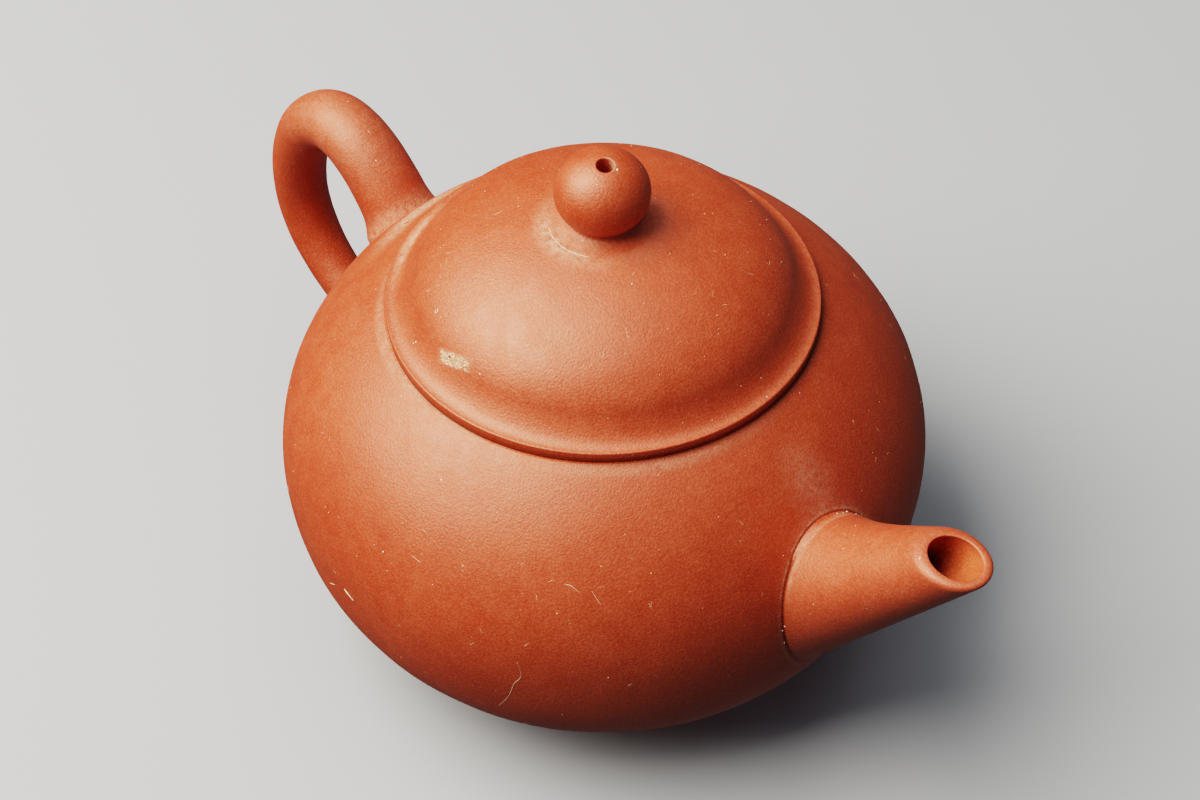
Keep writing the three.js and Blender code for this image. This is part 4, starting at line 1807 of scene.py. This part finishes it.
@dataclass(frozen=True)
class Scatter:
    """Settled grit and lint, spread at random over one body between two heights and two radii."""

    seed: int
    low: float
    high: float
    inner: float
    outer: float
    grit: int
    lint: int
    grit_size: Point = (0.035, 0.08)
    lint_size: Point = (0.01, 0.018)
    lint_leg: float = 0.55

    def spot(self, dice: random.Random) -> Vector:
        """Returns a place near the skin."""
        turn, reach = dice.uniform(0.0, math.tau), math.sqrt(dice.uniform(self.inner ** 2, self.outer ** 2))
        return Vector((reach * math.cos(turn), reach * math.sin(turn), dice.uniform(self.low, self.high)))

    def flecks(self) -> list[tuple[Place, float]]:
        """Returns places for the grit, with a half width each."""
        dice = random.Random(self.seed)
        return [(tuple(self.spot(dice)), dice.uniform(*self.grit_size)) for _ in range(self.grit)]

    def strands(self) -> list[Strand]:
        """Makes the lint.

        Returns:
            Short curled fibres.
        """
        dice = random.Random(self.seed + 1)
        fibres = []
        for _ in range(self.lint):
            place = self.spot(dice)
            legs = [Vector(dice.uniform(-self.lint_leg, self.lint_leg) for _ in range(3)) for _ in range(2)]
            points = (place, place + legs[0], place + legs[0] + legs[1])
            fibres.append(Strand(tuple(tuple(point) for point in points), dice.uniform(*self.lint_size)))
        return fibres


POT_SCATTER = Scatter(seed=3, low=9.0, high=45.0, inner=34.0, outer=40.0, grit=170, lint=110)
LID_SCATTER = Scatter(seed=5, low=57.0, high=60.0, inner=6.0, outer=23.0, grit=50, lint=30)


@dataclass(frozen=True)
class Panel:
    """A square light: the way to it as right, ahead and up, its sizes in metres and its energy in watts."""

    name: str
    towards: Place
    distance: float
    size: float
    energy: float
    colour: str


@dataclass(frozen=True)
class Studio:
    """Plain floor, soft light from a high window on the left, and the photograph's camera."""

    floor_size: float = 2.4
    camera_place: Place = (182.4, -171.9, 293.0)
    camera_azimuth: float = 46.8
    camera_pitch: float = 46.19
    camera_roll: float = -0.497
    lens: float = 90.0
    sensor: float = 36.0
    clip: Point = (0.01, 20.0)
    sky: str = "#DCE4EC"
    sky_strength: float = 0.14
    panels: tuple[Panel, ...] = (
        Panel("window", towards=(-0.62, -0.06, 0.78), distance=0.62, size=0.6, energy=9.4, colour="#FFF2E0"),
        Panel("ceiling", towards=(-0.1, 0.0, 1.0), distance=0.8, size=0.9, energy=2.4, colour="#FFF8F0"),
    )
    aim_height: float = 0.03

    def axes(self) -> tuple[Vector, Vector]:
        """Returns the camera's level right and level forward directions."""
        turn = math.radians(self.camera_azimuth)
        return (Vector((math.cos(turn), math.sin(turn), 0.0)), Vector((-math.sin(turn), math.cos(turn), 0.0)))

    def build(self) -> None:
        """Makes the floor, the sky, the camera and the lights."""
        self._floor()
        self._sky()
        self._camera()
        for panel in self.panels:
            self._hang(panel)

    def _floor(self) -> None:
        """Lays the floor under the foot."""
        bm = bmesh.new()
        bmesh.ops.create_grid(bm, x_segments=1, y_segments=1, size=self.floor_size / 2)
        mesh = as_mesh(bm, "floor")
        mesh.materials.append(FloorFinish().material())
        floor = in_scene("floor", mesh)
        # The photographed cloth is dark, so the pale board neither mirrors in the clay nor lights it.
        floor.visible_glossy = False
        floor.visible_diffuse = False

    def _sky(self) -> None:
        """Sets the soft light that comes from all sides, and how the picture is toned."""
        world = bpy.data.worlds.new("room")
        world.use_nodes = True
        background = world.node_tree.nodes["Background"]
        background.inputs["Color"].default_value = linear(self.sky)
        background.inputs["Strength"].default_value = self.sky_strength
        scene = bpy.context.scene
        scene.world = world
        scene.view_settings.view_transform = "Filmic"
        scene.view_settings.look = "High Contrast"

    def _hang(self, panel: Panel) -> None:
        """Hangs a light, turned towards the pot.

        Args:
            panel: the light.
        """
        right, ahead = self.axes()
        level, forth, rise = panel.towards
        aim = (level * right + forth * ahead + Vector((0.0, 0.0, rise))).normalized()
        lamp = bpy.data.lights.new(panel.name, "AREA")
        lamp.shape, lamp.size, lamp.energy = "SQUARE", panel.size, panel.energy
        lamp.color = linear(panel.colour)[:3]
        made = in_scene(panel.name, lamp)
        made.location = Vector((0.0, 0.0, self.aim_height)) + aim * panel.distance
        made.rotation_euler = aim.to_track_quat("Z", "Y").to_euler()

    def _camera(self) -> None:
        """Sets the camera where the photograph was taken from."""
        right, ahead = self.axes()
        pitch, roll = math.radians(self.camera_pitch), math.radians(self.camera_roll)
        forward = ahead * math.cos(pitch) - Vector((0.0, 0.0, math.sin(pitch)))
        level_up = right.cross(forward)
        side = right * math.cos(roll) + level_up * math.sin(roll)
        up = level_up * math.cos(roll) - right * math.sin(roll)
        data = bpy.data.cameras.new("camera")
        data.lens, data.sensor_width = self.lens, self.sensor
        data.clip_start, data.clip_end = self.clip
        camera = in_scene("camera", data)
        turn = Matrix((side, up, -forward)).transposed().to_4x4()
        camera.matrix_world = Matrix.Translation(Vector(self.camera_place) * METRES) @ turn
        bpy.context.scene.camera = camera


def dress_deposits(bowl: Bowl, spout: Spout, lid: Lid, patch: ScalePatch) -> None:
    """Lays the scale, lint and grit on the pot and on the lid, and the dark flecks that paint shade in the
    scale's pits.

    Args:
        bowl: the modelled body.
        spout: the modelled spout.
        lid: the modelled lid.
        patch: the crust on the lid.
    """
    scale = DepositFinish(name="dried_tea_scale", pale="#F5E7CB", brown="#B87F50", patch_size=0.35).material()
    # The dark flecks' finish is painted shade for the crust's pits.
    pits = DepositFinish(name="painted_pit_shade", pale="#5A2E18", brown="#2E150B", patch_size=0.5).material()
    lint = DepositFinish(name="pale_lint_and_grit", pale="#F3E6D2", brown="#DDBE9C",
                         patch_size=1.5).material()
    shell, knob = Contact(lid.shell), Contact(lid.knob)
    Deposits(Body.POT, (Contact(bowl.skin), Contact(spout.skin)), (*POT_STRANDS, *POT_SCATTER.strands()),
             (*POT_FLECKS, *POT_SCATTER.flecks())).dress("pot_lint", lint)
    Deposits(Body.LID, (shell, knob), (*LID_STRANDS, *LID_SCATTER.strands()),
             (*LID_FLECKS, *LID_SCATTER.flecks())).dress("lid_lint", lint)
    Deposits(Body.LID, (shell,), (), SCALE_PITS).dress("lid_scale_pits", pits)
    placed(patch.build(shell), "lid_scale", Body.LID, [scale])


def main() -> None:
    """Builds the teapot's looks round the frame."""
    logging.basicConfig(level=logging.INFO, format="%(name)s %(message)s")
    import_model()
    Studio().build()
    marks = Landmarks.from_frame()
    clay = Clay()
    bowl = Bowl(marks)
    strainer, spout, handle, lid = Strainer(marks), Spout(bowl), Handle(bowl), Lid(marks)
    for part in (strainer, spout, handle, lid):
        part.build()
    patch = ScalePatch()
    soil_and_shade = SoilAndShade(bowl, spout, handle, lid, patch)
    bowl.build(soil_and_shade.in_crease)
    dress_deposits(bowl, spout, lid, patch)
    bowl.dress(clay, soil_and_shade.on_bowl)
    strainer.dress(clay)
    spout.dress(clay, soil_and_shade.on_spout)
    handle.dress(clay, soil_and_shade.on_handle)
    lid.dress(clay, soil_and_shade.on_lid, soil_and_shade.on_knob)


if __name__ == "__main__":
    main()
